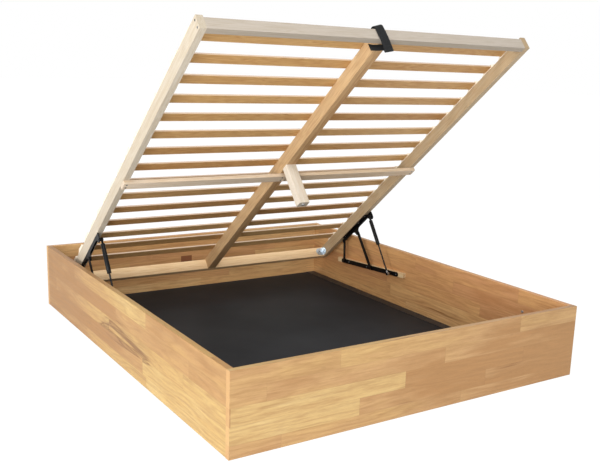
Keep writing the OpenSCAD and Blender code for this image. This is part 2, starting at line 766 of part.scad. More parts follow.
// ---------- webbing ----------

// Pull strap: it arches over the foot rail, with a loose tail outside and its fixed end inside,
// between the foot rail and the centre rail
module pull_strap() color([0.08, 0.08, 0.08]) on_raised_base()
    translate([-strap_offset - strap_w / 2, 0, 0]) rotate([90, 0, 90]) linear_extrude(strap_w) {
        top = [rail_t / 2 - base_l, foot_rail_h + strap_rise];
        r = rail_t / 2 + touch;
        polygon(concat(
            [[top[0] - r - strap_t, -strap_tail]], arc(top, r + strap_t, 180, 0, 24),
            [[top[0] + r + strap_t, strap_low], [top[0] + r, strap_low]],
            arc(top, r, 0, 180, 24), [[top[0] - r, -strap_tail]]));
    }

// Keeper strap: folded under the end of the centre rail, from where its width hangs down
module keeper_strap() color([0.08, 0.08, 0.08]) on_raised_base()
    translate([centre_w / 2 - 8 - keeper_l, rail_t + touch - base_l, -touch - keeper_drop]) {
        cube([keeper_l, strap_t, keeper_drop]);
        translate([keeper_l + 8 - centre_w, 0, keeper_drop - strap_t])
            cube([centre_w - 8, keeper_fold, strap_t]);
    }

panel_foot();
panel_head();
panel_left();
panel_right();
corner_dowels();
floor_board();
floor_edging();
foot_rest_left();
foot_rest_right();
side_buffers();
batten_left();
batten_right();
base_rail_left();
base_rail_right();
base_pins();
box_screws();
side_rail_left();
side_rail_right();
foot_rail();
head_rail();
centre_rail();
cross_rail();
slat(1);  // slat_01
slat(2);  // slat_02
slat(3);  // slat_03
slat(4);  // slat_04
slat(5);  // slat_05
slat(6);  // slat_06
slat(7);  // slat_07
slat(8);  // slat_08
slat(9);  // slat_09
slat(10);  // slat_10
slat(11);  // slat_11
slat(12);  // slat_12
slat(13);  // slat_13
slat(14);  // slat_14
slat(15);  // slat_15
holders_left();
holders_right();
leg();
leg_glide();
corner_brackets();
frame_screws();
lid_plate_left();
lid_plate_right();
plate_screws();
plate_pins();
pull_strap();
keeper_strap();
rear_link_left();
rear_link_right();
front_link_left();
front_link_right();
strut_cylinder_left();
strut_cylinder_right();
strut_rod_left();
strut_rod_right();
strut_end_left();
strut_end_right();
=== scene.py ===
"""Finishes, fasteners, webbing and studio of a platform bed whose slatted base lifts."""
import json
import math

import bmesh
import bpy
from mathutils import Euler, Matrix, Vector


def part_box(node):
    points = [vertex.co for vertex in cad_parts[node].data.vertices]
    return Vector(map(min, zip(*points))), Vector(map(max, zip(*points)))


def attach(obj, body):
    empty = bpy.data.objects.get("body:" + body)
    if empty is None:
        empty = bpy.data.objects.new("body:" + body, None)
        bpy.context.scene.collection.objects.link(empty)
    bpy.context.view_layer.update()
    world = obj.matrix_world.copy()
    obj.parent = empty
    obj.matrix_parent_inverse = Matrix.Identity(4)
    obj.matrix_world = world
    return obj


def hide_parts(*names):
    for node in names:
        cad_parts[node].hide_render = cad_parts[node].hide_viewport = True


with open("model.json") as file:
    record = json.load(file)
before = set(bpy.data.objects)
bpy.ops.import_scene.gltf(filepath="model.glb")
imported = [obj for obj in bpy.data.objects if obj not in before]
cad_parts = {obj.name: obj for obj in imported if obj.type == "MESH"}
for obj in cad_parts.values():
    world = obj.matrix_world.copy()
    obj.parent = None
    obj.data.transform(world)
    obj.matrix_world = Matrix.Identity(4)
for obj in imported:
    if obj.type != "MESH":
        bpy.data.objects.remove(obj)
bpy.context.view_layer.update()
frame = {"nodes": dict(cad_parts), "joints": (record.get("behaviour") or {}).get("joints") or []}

bl_info = {
    "name": "Platform Bed Looks",
    "version": (1, 0, 0),
    "blender": (4, 5, 0),
    "location": "3D View > Sidebar > Bed",
    "description": "Dresses a platform bed: oiled staves, planed rails, fittings, webbing and studio",
    "category": "Object",
}

MM = 0.001
AXES = "XYZ"
ACROSS_BED = Vector((1, 0, 0))
SIDES = ("left", "right")


# ---------- places worked out from the frame ----------

def joint(name):
    """The joint of that name."""
    return next(j for j in frame["joints"] if j["name"] == name)


def travel(name):
    """Travel of a hinge, in degrees."""
    return joint(name)["range_deg"][1]


# The base turns on its link by more than the link turns, and the rest is its raised angle.
OPEN_ANGLE = math.radians(round(travel("slatted_base_pivot") - travel("front_link_right_pivot"), 1))


def raised_base():
    """Axes of the raised base, from the tilted box of a side rail."""
    low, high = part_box("side_rail_right")
    cos, sin = math.cos(OPEN_ANGLE), math.sin(OPEN_ANGLE)
    height = ((high.z - low.z) * cos - (high.y - low.y) * sin) / math.cos(2 * OPEN_ANGLE)
    origin = Vector((0, high.y - height * sin, low.z))
    return Matrix.Translation(origin) @ Matrix.Rotation(-OPEN_ANGLE, 4, "X")


# Local axes of the base: X across the bed, Y towards the head, Z up from the rails' underside.
BASE = raised_base()
BOX = Matrix.Identity(4)
PANEL_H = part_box("panel_foot")[1].z


def vertices(node, place):
    """Vertices of a node, in the axes of place."""
    back = place.inverted()
    return [back @ vert.co for vert in frame["nodes"][node].data.vertices]


def reach(node, place):
    """Smallest and largest corner of a node, in the axes of place."""
    points = vertices(node, place)
    return [Vector(pick(p[i] for p in points) for i in range(3)) for pick in (min, max)]


def strut_axes(side):
    """Axes of a strut: origin in its lower pivot, X along the pin, Z towards its upper pivot."""
    along = -Vector(joint(f"strut_{side}_stroke")["axis"])
    turn = Matrix((ACROSS_BED, along.cross(ACROSS_BED), along)).transposed().to_4x4()
    return Matrix.Translation(joint(f"strut_{side}_foot")["pos_m"]) @ turn


def islands(node):
    """Vertices of each separate solid of a node."""
    bm = bmesh.new()
    bm.from_mesh(frame["nodes"][node].data)
    bmesh.ops.remove_doubles(bm, verts=bm.verts, dist=1e-6)
    seen, found = set(), []
    for start in bm.verts:
        if start in seen:
            continue
        seen.add(start)
        group, todo = [], [start]
        while todo:
            vert = todo.pop()
            group.append(vert.co.copy())
            for edge in vert.link_edges:
                other = edge.other_vert(vert)
                if other not in seen:
                    seen.add(other)
                    todo.append(other)
        found.append(group)
    bm.free()
    return found


def long_axis(points):
    """Direction in which the points lie furthest apart."""
    middle = sum(points, Vector()) / len(points)
    axis = max((p - middle for p in points), key=lambda d: d.length)
    for _ in range(20):
        axis = sum(((p - middle) * (p - middle).dot(axis) for p in points), Vector()).normalized()
    return axis


def pin_ends(points, lengthwise):
    """The two ends of a turned piece along its axis: middle, outward direction and radius of each."""
    middle = sum(points, Vector()) / len(points)
    along = [(p - middle).dot(lengthwise) for p in points]
    ends = []
    for direction, far in ((lengthwise, max(along)), (-lengthwise, -min(along))):
        ring = [p for p in points if abs((p - middle).dot(direction) - far) < 0.1 * MM]
        centre = sum(ring, Vector()) / len(ring)
        ends.append((centre, direction, max((p - centre).length for p in ring)))
    return ends


# ---------- nodes ----------

def linear(colour):
    """An sRGB hex colour as linear RGBA."""
    parts = [int(colour[i:i + 2], 16) / 255 for i in (0, 2, 4)]
    return [p / 12.92 if p <= 0.04045 else ((p + 0.055) / 1.055) ** 2.4 for p in parts] + [1.0]


def add(tree, kind, values=(), stops=(), **settings):
    """Adds a node; kind can leave ShaderNode out. values are for its inputs, by name or in their
    order, each a value, a socket or a node whose first output it takes. A colour input also takes
    a hex colour, and stops are the places and hex colours of a ramp."""
    node = tree.nodes.new(kind if "Node" in kind else "ShaderNode" + kind)
    for key, value in settings.items():
        setattr(node, key, value)
    inputs = [socket for socket in node.inputs if socket.enabled]
    if isinstance(values, dict):
        inputs = [next(socket for socket in inputs if socket.name == name) for name in values]
        values = values.values()
    for socket, value in zip(inputs, values):
        if isinstance(value, bpy.types.Node):
            value = next(output for output in value.outputs if output.enabled)
        if isinstance(value, bpy.types.NodeSocket):
            tree.links.new(value, socket)
        elif socket.type == "RGBA" and isinstance(value, str):
            socket.default_value = linear(value)
        else:
            socket.default_value = value
    for _ in stops[2:]:
        node.color_ramp.elements.new(0.5)
    for i, (place, colour) in enumerate(stops):
        node.color_ramp.elements[i].position = place
        node.color_ramp.elements[i].color = linear(colour)
    return node


def new_material(name):
    """An empty material and its tree."""
    made = bpy.data.materials.new(name)
    made.use_nodes = True
    made.node_tree.nodes.clear()
    return made, made.node_tree


def close_material(tree, values):
    """Ends a material's tree with a Principled shader; values are its inputs by name."""
    add(tree, "OutputMaterial", [add(tree, "BsdfPrincipled", values)])


def along_grain(tree, place, run):
    """Position and normal on a piece in the axes of place, the run axis first."""
    source = add(tree, "TexCoord")
    found = []
    for output, origin in (("Object", place.to_translation()), ("Normal", Vector())):
        local = add(
            tree, "Mapping", [source.outputs[output], origin, place.to_euler()], vector_type="TEXTURE")
        parts = add(tree, "SeparateXYZ", [local])
        found.append([parts.outputs[axis] for axis in [run] + [a for a in AXES if a != run]])
    return found


def grain_noise(tree, position, shift, size_mm, **settings):
    """Noise drawn out along the grain; size_mm is its length and its width across."""
    length, width = size_mm
    scaled = [
        add(tree, "Math", [socket, 1 / (size * MM)], operation="MULTIPLY")
        for socket, size in zip(position, (length, width, width))]
    vector = add(tree, "CombineXYZ", scaled)
    moved = add(tree, "VectorMath", [vector, shift], operation="ADD")
    return add(tree, "TexNoise", {"Vector": moved, "Scale": 1.0, **settings})


def contours(tree, value, often):
    """Lines of equal height of a value: 0 on each of them, and 0.5 halfway to the next."""
    scaled = add(tree, "Math", [value, often], operation="MULTIPLY")
    return add(tree, "Math", [scaled, 0.5], operation="PINGPONG")


def facing_along(tree, part):
    """1 where the surface faces along an axis, by that part of its normal, and else 0."""
    size = add(tree, "Math", [part], operation="ABSOLUTE")
    return add(tree, "Math", [size, 0.7], operation="GREATER_THAN")


# ---------- oiled staves ----------

def stave_cells(tree, position, seed):
    """Which stave a place is in: its row, counted down from the panel's upper edge, the row's key, the
    stave's random colour and shift, and the distance to its end."""
    sizes = bpy.context.scene.bed_sizes
    along, deep, high = position
    row_height, row_key, face_key = sizes.stave_height, 37.31, 11.7
    row = add(
        tree, "Math", [high, -1 / row_height, PANEL_H / row_height], operation="MULTIPLY_ADD")
    number = add(tree, "Math", [row], operation="FLOOR")
    face = add(tree, "Math", [deep], operation="SIGN")
    key = add(tree, "Math", [number, row_key, seed], operation="MULTIPLY_ADD")
    key = add(tree, "Math", [face, face_key, key], operation="MULTIPLY_ADD")
    place = add(tree, "Math", [along, 1 / sizes.stave_length, key], operation="MULTIPLY_ADD")
    cells = {"W": place, "Scale": 1.0, "Randomness": 0.7}
    stave = add(tree, "TexVoronoi", cells, voronoi_dimensions="1D").outputs["Color"]
    end = add(tree, "TexVoronoi", cells, voronoi_dimensions="1D", feature="DISTANCE_TO_EDGE")
    shift = add(tree, "VectorMath", [stave, 90.0], operation="SCALE")
    return row, key, stave, shift, end


def stave_tone(tree, position, chance, shift, browner):
    """Tone of each stave, in soft clouds and browner between two places along the panel."""
    tones = bpy.context.scene.bed_colours
    # browner between two places along the panel; on the left panel this is partly painted shade, darker
    # at its far end where the light falls off
    browning_and_painted_shade = add(tree, "MapRange", [position[0], *browner, 0.0, -0.75])
    cloud = grain_noise(tree, position, shift, (260, 50), Detail=2.0, Roughness=0.55)
    browning_and_painted_shade = add(tree, "Math", [cloud, 0.7, browning_and_painted_shade], operation="MULTIPLY_ADD")
    picked = add(tree, "Math", [chance.outputs["Red"], 0.8, -0.25], operation="MULTIPLY_ADD")
    picked = add(tree, "Math", [picked, browning_and_painted_shade], operation="ADD", use_clamp=True)
    return add(tree, "ValToRGB", [picked], [
        (0.0, tones.stave_brown), (0.2, tones.stave_rose), (0.45, tones.stave_honey),
        (0.75, tones.stave_gold), (1.0, tones.stave_pale)])


def stave_figure(tree, position, row, stave, shift, streaks):
    """Share of late wood. Growth rings are long cones round a pith that lies beside the stave, so that
    the face shows arches, and streaks and flecks run over them."""
    sizes = bpy.context.scene.bed_sizes
    along, deep, _ = position
    spread, offset, taper, ring_width = (2.6, 0.11, 0.14), (-1.3, -0.055, -0.07), 0.035, 6 * MM
    pith = add(tree, "VectorMath", [stave, spread, offset], operation="MULTIPLY_ADD")
    level = add(tree, "Math", [row, sizes.stave_height], operation="MULTIPLY")
    centred = add(tree, "CombineXYZ", [along, deep, level])
    from_pith = add(tree, "VectorMath", [centred, pith], operation="ADD")
    cone = add(tree, "VectorMath", [from_pith, (taper, 1, 1)], operation="MULTIPLY")
    radius = add(tree, "VectorMath", [cone], operation="LENGTH")
    broad = grain_noise(tree, position, shift, (420, 60), Detail=2.0, Roughness=0.5)
    wavy = add(tree, "Math", [broad, 0.035, radius], operation="MULTIPLY_ADD")
    ring = contours(tree, wavy, 1 / ring_width)
    mixed = add(tree, "MapRange", [ring, 0.1, 0.5, 0.0, 0.22], interpolation_type="SMOOTHSTEP")
    flecks = grain_noise(tree, position, shift, (45, 4), Detail=2.5, Roughness=0.65, Distortion=0.4)
    for noise, share in ((streaks, 0.9), (broad, 0.5), (flecks, 0.65)):
        mixed = add(tree, "Math", [noise, share, mixed], operation="MULTIPLY_ADD")
    return add(tree, "MapRange", [mixed, 0.85, 1.45, 0.0, sizes.figure_strength])


def brown_heart(tree, position, chance, shift, hearts, heart_at):
    """Share of brown heart, in a few staves and broad round a place, with wavy growth lines."""
    along, _, high = position
    heart = grain_noise(tree, position, shift, (520, 26), Detail=2.0, Roughness=0.45, Distortion=0.5)
    rare = add(tree, "MapRange", [chance.outputs["Green"], 0.55, 1.0, -0.2, hearts])
    heart = add(tree, "Math", [heart, rare], operation="ADD")
    if heart_at:
        half_length, half_height = 0.5, 0.075
        spot = add(tree, "CombineXYZ", [along, high])
        spot = add(tree, "VectorMath", [spot, (*heart_at, 0)], operation="SUBTRACT")
        spot = add(
            tree, "VectorMath", [spot, (1 / half_length, 1 / half_height, 0)], operation="MULTIPLY")
        spot = add(tree, "VectorMath", [spot], operation="LENGTH")
        lift = add(tree, "MapRange", [spot, 0.3, 1.0, 0.34, 0.0], interpolation_type="SMOOTHSTEP")
        heart = add(tree, "Math", [heart, lift], operation="ADD")
    inside = add(tree, "MapRange", [heart, 0.55, 0.63], interpolation_type="SMOOTHSTEP")
    lines = add(tree, "MapRange", [contours(tree, heart, 10.0), 0.1, 0.5, 0.4, 0.88])
    return add(tree, "Math", [inside, lines], operation="MULTIPLY")


def dark_patch(tree, position, dark_at):
    """Share of a short dark reddish patch, given by its middle along and up the panel and by its depth.
    """
    along, deep, high = position
    half_length, half_height = 33 * MM, 20 * MM
    there = add(tree, "Math", [along, dark_at[0], half_length], operation="COMPARE")
    level = add(tree, "Math", [high, dark_at[1], half_height], operation="COMPARE")
    inner = add(tree, "Math", [deep, dark_at[2]], operation="LESS_THAN")
    for factor in (level, inner, 0.85):
        there = add(tree, "Math", [there, factor], operation="MULTIPLY")
    return there


def stave_joints(tree, position, row, key, end, fibres):
    """Shade of fibres, of small knots, and of the glue lines between rows and at the staves' ends."""
    sizes = bpy.context.scene.bed_sizes
    along, _, high = position
    shade = add(tree, "MapRange", [fibres, 0.3, 0.7, 0.93, 1.04])
    knot_place = add(tree, "CombineXYZ", [
        add(tree, "Math", [along, 2.1], operation="MULTIPLY"),
        add(tree, "Math", [high, 5.5], operation="MULTIPLY"), key])
    knots = add(tree, "TexVoronoi", {"Vector": knot_place, "Scale": 1.0, "Randomness": 1.0})
    eye = add(tree, "MapRange", [knots, 0.01, 0.045, 0.55, 1.0])
    in_row = add(tree, "Math", [row, 0.5], operation="PINGPONG")
    row_line = add(tree, "MapRange", [in_row, 0.0, 1.0 * MM / sizes.stave_height, 0.9, 1.0])
    end_line = add(tree, "MapRange", [end, 0.0, 1.2 * MM / sizes.stave_length, 0.84, 1.0])
    for factor in (eye, row_line, end_line):
        shade = add(tree, "Math", [shade, factor], operation="MULTIPLY")
    return shade


def oiled_staves(
        name, place, run, seed, browner, tint_and_painted_light, hearts=0.02, heart_at=None, dark_at=None):
    """Heartwood beech, glued from staves, sanded and oiled. Staves differ in tone, and each has its
    own growth rings and soft streaks, with brown heart here and there, under a low sheen. They get
    browner between two places along the panel; on the left panel this is partly painted shade, darker
    at its far end. The whole panel is multiplied by a tint, which is partly the wood's hue and partly
    painted light and shade for how brightly the panel is lit. A lower hearts makes brown heart rarer.
    heart_at is a place along and up the panel where it is broad, and dark_at one of a short dark
    reddish patch, up to a depth inside the panel."""
    tones = bpy.context.scene.bed_colours
    made, tree = new_material(name)
    position, normal = along_grain(tree, place, run)
    row, key, stave, shift, end = stave_cells(tree, position, seed)
    chance = add(tree, "SeparateColor", [stave])
    streaks = grain_noise(tree, position, shift, (330, 9), Detail=3.5, Roughness=0.6)
    fibres = grain_noise(tree, position, shift, (18, 1.0), Detail=2.0, Roughness=0.6)
    late = stave_figure(tree, position, row, stave, shift, streaks)
    heart = brown_heart(tree, position, chance, shift, hearts, heart_at)
    colour = stave_tone(tree, position, chance, shift, browner)
    layers = [(late, tones.late_wood), (heart, tones.heart_streak)]
    if dark_at:
        layers.append((dark_patch(tree, position, dark_at), tones.dark_patch))
    for share, tone in layers:
        colour = add(tree, "Mix", [share, colour, tone], data_type="RGBA")
    shade = stave_joints(tree, position, row, key, end, fibres)
    # multiply by the joints and knots, then by the panel's tint, which is partly painted light and shade
    for factor in (shade, tint_and_painted_light):
        colour = add(tree, "Mix", [1.0, colour, factor], data_type="RGBA", blend_type="MULTIPLY")
    # sawn ends: darker, speckled with pores
    sawn = add(tree, "Math", [facing_along(tree, normal[0]), 0.6], operation="MULTIPLY")
    source = add(tree, "TexCoord").outputs["Object"]
    pores = add(tree, "TexNoise", {"Vector": source, "Scale": 1 / (1.1 * MM), "Detail": 3.0})
    sawn_tone = add(tree, "ValToRGB", [pores], [(0.3, tones.end_grain), (0.7, tones.stave_honey)])
    relief = add(tree, "Math", [fibres, shade], operation="MULTIPLY")
    close_material(tree, {
        "Base Color": add(tree, "Mix", [sawn, colour, sawn_tone], data_type="RGBA"),
        "Roughness": add(tree, "MapRange", [streaks, 0.3, 0.7, 0.52, 0.42]),
        "Normal": add(tree, "Bump", {"Height": relief, "Strength": 0.35, "Distance": 0.15 * MM}),
        "Specular IOR Level": 0.35})
    return made


# ---------- other materials ----------

WHOLE = 10.0            # side of a cell, in metres, that is larger than the bed


def planed_wood(name, place, run, light, dark, cell, rough=0.55, ring_mm=(500, 16), veneer_edge_and_shade=None):
    """Planed board without oil: pale, with soft ring lines and a dull surface. cell is the size in
    metres, run axis first, of the cells in which one board lies, so that each has its own cut.
    The colour given for the long edges of a laminated board, where the 1.6 mm layers show, is
    partly painted shade: a greyish tone for edges that lie in shade."""
    made, tree = new_material(name)
    position, normal = along_grain(tree, place, run)
    cells = [
        add(tree, "Math", [socket, size], operation="SNAP") for socket, size in zip(position, cell)]
    board = add(tree, "CombineXYZ", cells)
    chance = add(tree, "TexWhiteNoise", {"Vector": board}, noise_dimensions="3D")
    shift = add(tree, "VectorMath", [chance.outputs["Color"], 60.0], operation="SCALE")
    figure = grain_noise(tree, position, shift, ring_mm, Detail=2.0, Roughness=0.55, Distortion=0.3)
    rings = add(tree, "MapRange", [contours(tree, figure, 9.0), 0.0, 0.4, 0.55, 0.0])
    streaks = grain_noise(tree, position, shift, (140, 4), Detail=3.0, Roughness=0.6)
    fibres = grain_noise(tree, position, shift, (12, 0.8), Detail=2.0, Roughness=0.6)
    mixed = add(tree, "Math", [streaks, 0.5, rings], operation="MULTIPLY_ADD")
    own = add(tree, "MapRange", [chance.outputs["Value"], 0.0, 1.0, -0.3, 0.3])
    mixed = add(tree, "Math", [mixed, own], operation="ADD", use_clamp=True)
    colour = add(tree, "Mix", [mixed, light, dark], data_type="RGBA")
    # long edges: veneer layers in a greyish tone that is partly painted shade
    if veneer_edge_and_shade:
        thickness = 1.6 * MM
        layer = add(tree, "Math", [position[2], thickness], operation="PINGPONG")
        layer = add(tree, "MapRange", [layer, 0.0, thickness, 0.5, 0.85])
        edge = add(tree, "Math", [facing_along(tree, normal[1]), layer], operation="MULTIPLY")
        colour = add(tree, "Mix", [edge, colour, veneer_edge_and_shade], data_type="RGBA")
    finer = add(tree, "MapRange", [fibres, 0.3, 0.7, 0.94, 1.03])
    sawn = add(tree, "Math", [normal[0]], operation="ABSOLUTE")
    sawn = add(tree, "MapRange", [sawn, 0.6, 0.8, 1.0, 0.82])
    shade = add(tree, "Math", [finer, sawn], operation="MULTIPLY")
    close_material(tree, {
        "Base Color": add(
            tree, "Mix", [1.0, colour, shade], data_type="RGBA", blend_type="MULTIPLY"),
        "Roughness": add(tree, "MapRange", [streaks, 0.3, 0.7, rough + 0.07, rough - 0.05]),
        "Normal": add(tree, "Bump", {"Height": fibres, "Strength": 0.4, "Distance": 0.12 * MM}),
        "Specular IOR Level": 0.3})
    return made


def clouded(name, cloud, fine, stops, rough, bump, values):
    """A surface whose colour and roughness change in clouds, over a fine relief. cloud and fine are
    the size in mm, the detail and the roughness of each noise, stops the ramp of colours, rough the
    range of the clouds and that of the roughness, bump the relief's strength and height in mm, and
    values the shader's other inputs by name."""
    made, tree = new_material(name)
    source = add(tree, "TexCoord").outputs["Object"]
    clouds, relief = [
        add(tree, "TexNoise", {
            "Vector": source, "Scale": 1 / (size * MM), "Detail": detail, "Roughness": grit})
        for size, detail, grit in (cloud, fine)]
    strength, height = bump
    close_material(tree, {
        "Base Color": add(tree, "ValToRGB", [clouds], stops),
        "Roughness": add(tree, "MapRange", [clouds, *rough]),
        "Normal": add(
            tree, "Bump", {"Height": relief, "Strength": strength, "Distance": height * MM}),
        **values})
    return made


def powder_coated_steel():
    """Steel strip, punched and powder coated black: even, half gloss, with a fine orange peel."""
    blacks = [(0.35, "070708"), (0.62, "0B0B0C"), (0.8, "151618")]
    return clouded(
        "powder_coated_steel", cloud=(30, 6.0, 0.7), fine=(1.6, 1.0, 0.5), stops=blacks,
        rough=(0.35, 0.75, 0.34, 0.5), bump=(0.2, 0.05), values={"Specular IOR Level": 0.16})


def zinc_plated_steel(name, dark, light, rough):
    """Bright zinc on pressed or turned steel: grey metal with faint cloudy patches."""
    return clouded(
        name, cloud=(9, 4.0, 0.5), fine=(0.6, 2.0, 0.5), stops=[(0.3, dark), (0.7, light)],
        rough=(0.3, 0.7, rough + 0.08, rough - 0.06), bump=(0.15, 0.03), values={"Metallic": 1.0})


def moulded_plastic(name, light, dark, rough):
    """Injection moulded plastic: even, faintly mottled, with a fine spark-eroded grain."""
    return clouded(
        name, cloud=(22, 3.0, 0.5), fine=(0.5, 1.0, 0.5), stops=[(0.3, dark), (0.7, light)],
        rough=(0.3, 0.7, rough + 0.05, rough - 0.05), bump=(0.25, 0.04),
        values={"Specular IOR Level": 0.45})


def melamine_board():
    """Black melamine faced board: dull, with a fine pearl grain and a few pale rub marks."""
    made, tree = new_material("melamine_faced_board")
    source = add(tree, "TexCoord").outputs["Object"]
    pearl = add(tree, "TexNoise", {"Vector": source, "Scale": 1 / (1.2 * MM), "Detail": 2.0})
    cloud = add(tree, "TexNoise", {"Vector": source, "Scale": 2.2, "Detail": 3.0})
    drawn_out = add(tree, "Mapping", {"Vector": source, "Rotation": (0, 0, 0.5), "Scale": (9, 42, 1)})
    rubs = add(
        tree, "TexNoise", {"Vector": drawn_out, "Scale": 1.0, "Detail": 5.0, "Roughness": 0.72})
    rubs = add(tree, "MapRange", [rubs, 0.66, 0.86, 0.0, 0.35])
    black = add(tree, "ValToRGB", [cloud], [(0.3, "12171C"), (0.7, "191E24")])
    close_material(tree, {
        "Base Color": add(tree, "Mix", [rubs, black, "6A6B6B"], data_type="RGBA"),
        "Roughness": add(tree, "MapRange", [cloud, 0.3, 0.7, 0.62, 0.54]),
        "Normal": add(tree, "Bump", {"Height": pearl, "Strength": 0.4, "Distance": 0.06 * MM}),
        "Specular IOR Level": 0.2})
    return made


def woven_webbing():
    """Black polyester webbing, woven in a herringbone of 1.6 mm cords: dull with a soft sheen."""
    cord = 1.6 * MM
    made, tree = new_material("woven_webbing")
    parts = add(tree, "SeparateXYZ", [add(tree, "UVMap", uv_map="weave")])
    across, along = parts.outputs["X"], parts.outputs["Y"]
    zigzag = add(tree, "Math", [across, 4 * cord], operation="PINGPONG")
    slant = add(tree, "Math", [along, zigzag], operation="ADD")
    ribs, cords = [
        add(tree, "Math", [
            add(tree, "Math", [run, cord / 2], operation="PINGPONG"), 2 / cord], operation="MULTIPLY")
        for run in (slant, across)]
    height = add(tree, "Math", [ribs, cords], operation="MULTIPLY")
    close_material(tree, {
        "Base Color": add(tree, "ValToRGB", [height], [(0.0, "060607"), (1.0, "1A1B1D")]),
        "Normal": add(tree, "Bump", {"Height": height, "Strength": 0.8, "Distance": 0.4 * MM}),
        "Roughness": 0.8, "Specular IOR Level": 0.25, "Sheen Weight": 0.04})
    return made


# ---------- meshes ----------

def mesh_from(bm, name, smooth_angle=35.0):
    """A mesh from bm, its faces outwards and smooth up to an angle."""
    bmesh.ops.recalc_face_normals(bm, faces=bm.faces)
    mesh = bpy.data.meshes.new(name)
    bm.to_mesh(mesh)
    bm.free()
    mesh.shade_smooth()
    mesh.set_sharp_from_angle(angle=math.radians(smooth_angle))
    return mesh


def place_piece(mesh, name, material, body, replaced=()):
    """An object for the mesh, with its material, body and slot."""
    piece = bpy.data.objects.new(name, mesh)
    bpy.context.scene.collection.objects.link(piece)
    mesh.materials.clear()
    mesh.materials.append(material)
    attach(piece, body)
    if replaced:
        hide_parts(*replaced)


def finish_nodes(material, *nodes):
    """Gives CAD nodes a material in place of their plain one."""
    for node in nodes:
        slots = frame["nodes"][node].material_slots
        if not slots:
            raise RuntimeError(f"{node} has no material slot")
        for slot in slots:
            slot.material = material


def circle(radius, height, steps):
    """Points of a circle round Z, or the one point of a circle without a radius."""
    turns = [2 * math.pi * i / steps for i in range(steps if radius else 1)]
    return [Vector((radius * math.cos(t), radius * math.sin(t), height)) for t in turns]


def join_rings(bm, rings, steps):
    """Adds faces between each ring of vertices and the next; a ring can be a single one."""
    for a, b in zip(rings, rings[1:]):
        for i in range(steps):
            j = (i + 1) % steps
            corners = [a[i % len(a)], a[j % len(a)], b[j % len(b)], b[i % len(b)]]
            bm.faces.new(list(dict.fromkeys(corners)))


def turned(bm, profile, place=BOX, steps=32, closed=False):
    """Adds a turned shape. profile is a list of (radius, height) from one pole to the other, or if
    closed, a loop that makes a ring."""
    rings = [[bm.verts.new(place @ p) for p in circle(r, h, steps)] for r, h in profile]
    join_rings(bm, rings + rings[:1] if closed else rings, steps)


def eye_ring(bm, place, radius, width):
    """Adds the eye of a strut's end: a ring with a bush pressed in, its bore along X."""
    turn = place @ Matrix.Rotation(math.pi / 2, 4, "Y")
    bore, bush, half = 0.47 * radius, 0.68 * radius, width / 2
    edge = [(bore, 0.94), (bore + 0.3 * MM, 1.0), (bush, 1.0), (bush, 0.93), (0.93 * radius, 0.93),
            (radius, 0.84)]
    near = [(r, share * half) for r, share in edge]
    turned(bm, near + [(r, -z) for r, z in reversed(near)], turn, 40, closed=True)


def band(frames, half, thick):
    """A band of webbing with rounded edges along frames of (middle, across, normal), and its UV map
    "weave" in metres."""
    bm = bmesh.new()
    weave = bm.loops.layers.uv.new("weave")
    edge, spans = thick / 2, 8
    flat = [(half - edge) * (1 - 2 * i / spans) for i in range(1, spans)]
    round_end = [math.radians(a) for a in (-60, -30, 0, 30, 60)]
    section = [(half - edge + edge * math.cos(a), edge * math.sin(a)) for a in round_end]
    section += [(half - edge, edge)] + [(u, edge) for u in flat] + [(edge - half, edge)]
    section += [(-u, -w) for u, w in section]
    rings, length, last = [], 0.0, None
    for middle, across, normal in frames:
        length += (middle - last).length if last else 0.0
        last = middle
        rings.append((length, [bm.verts.new(middle + across * u + normal * w) for u, w in section]))
    for (near, a), (far, b) in zip(rings, rings[1:]):
        for i in range(len(section)):
            j = (i + 1) % len(section)
            face = bm.faces.new([a[i], a[j], b[j], b[i]])
            places = ((i, near), (j, near), (j, far), (i, far))
            for loop, (k, along) in zip(face.loops, places):
                loop[weave].uv = (section[k][0], along)
    for ring in (rings[0][1], rings[-1][1]):
        bm.faces.new(ring)
    return mesh_from(bm, "band", 50.0)


def sweep(place, path, x, lean=None):
    """Frames of a band whose middle runs along a path of (y, z) at x, in the axes of place. lean
    gives a vector at each point, by which one edge stands off more than the middle."""
    points = [Vector((x, y, z)) for y, z in path]
    turn, frames = place.to_3x3(), []
    for i, point in enumerate(points):
        tangent = (points[min(i + 1, len(points) - 1)] - points[max(i - 1, 0)]).normalized()
        off = lean[i] if lean else Vector()
        across = (ACROSS_BED + off).normalized()
        normal = tangent.cross(across).normalized()
        frames.append([place @ point, turn @ across, turn @ normal])
    return frames


def facing(point, direction):
    """Matrix that puts the origin at point and turns Z to direction."""
    return Matrix.Translation(point) @ direction.to_track_quat("Z", "Y").to_matrix().to_4x4()


# ---------- geometry nodes ----------

def tree_with(name, **sockets):
    """A geometry tree with named inputs, given with _ for a space, and the sockets they come from."""
    tree = bpy.data.node_groups.new(name, "GeometryNodeTree")
    for side in ("INPUT", "OUTPUT"):
        tree.interface.new_socket("Geometry", in_out=side, socket_type="NodeSocketGeometry")
    for label, kind in sockets.items():
        tree.interface.new_socket(
            label.replace("_", " "), in_out="INPUT", socket_type="NodeSocket" + kind)
    return tree, tree.nodes.new("NodeGroupInput").outputs


def put_part(tree, given, points, rotation):
    """Puts the part at points, each turned by its rotation."""
    part = add(tree, "GeometryNodeObjectInfo", {"Object": given["Part"]}).outputs["Geometry"]
    return add(
        tree, "GeometryNodeInstanceOnPoints",
        {"Points": points, "Instance": part, "Rotation": rotation, "Scale": given["Size"]})


def close_tree(tree, instances, finish):
    """Ends a tree: real geometry with its material."""
    real = add(tree, "GeometryNodeRealizeInstances", [instances])
    painted = add(tree, "GeometryNodeSetMaterial", {"Geometry": real, "Material": finish})
    add(tree, "NodeGroupOutput", [painted])


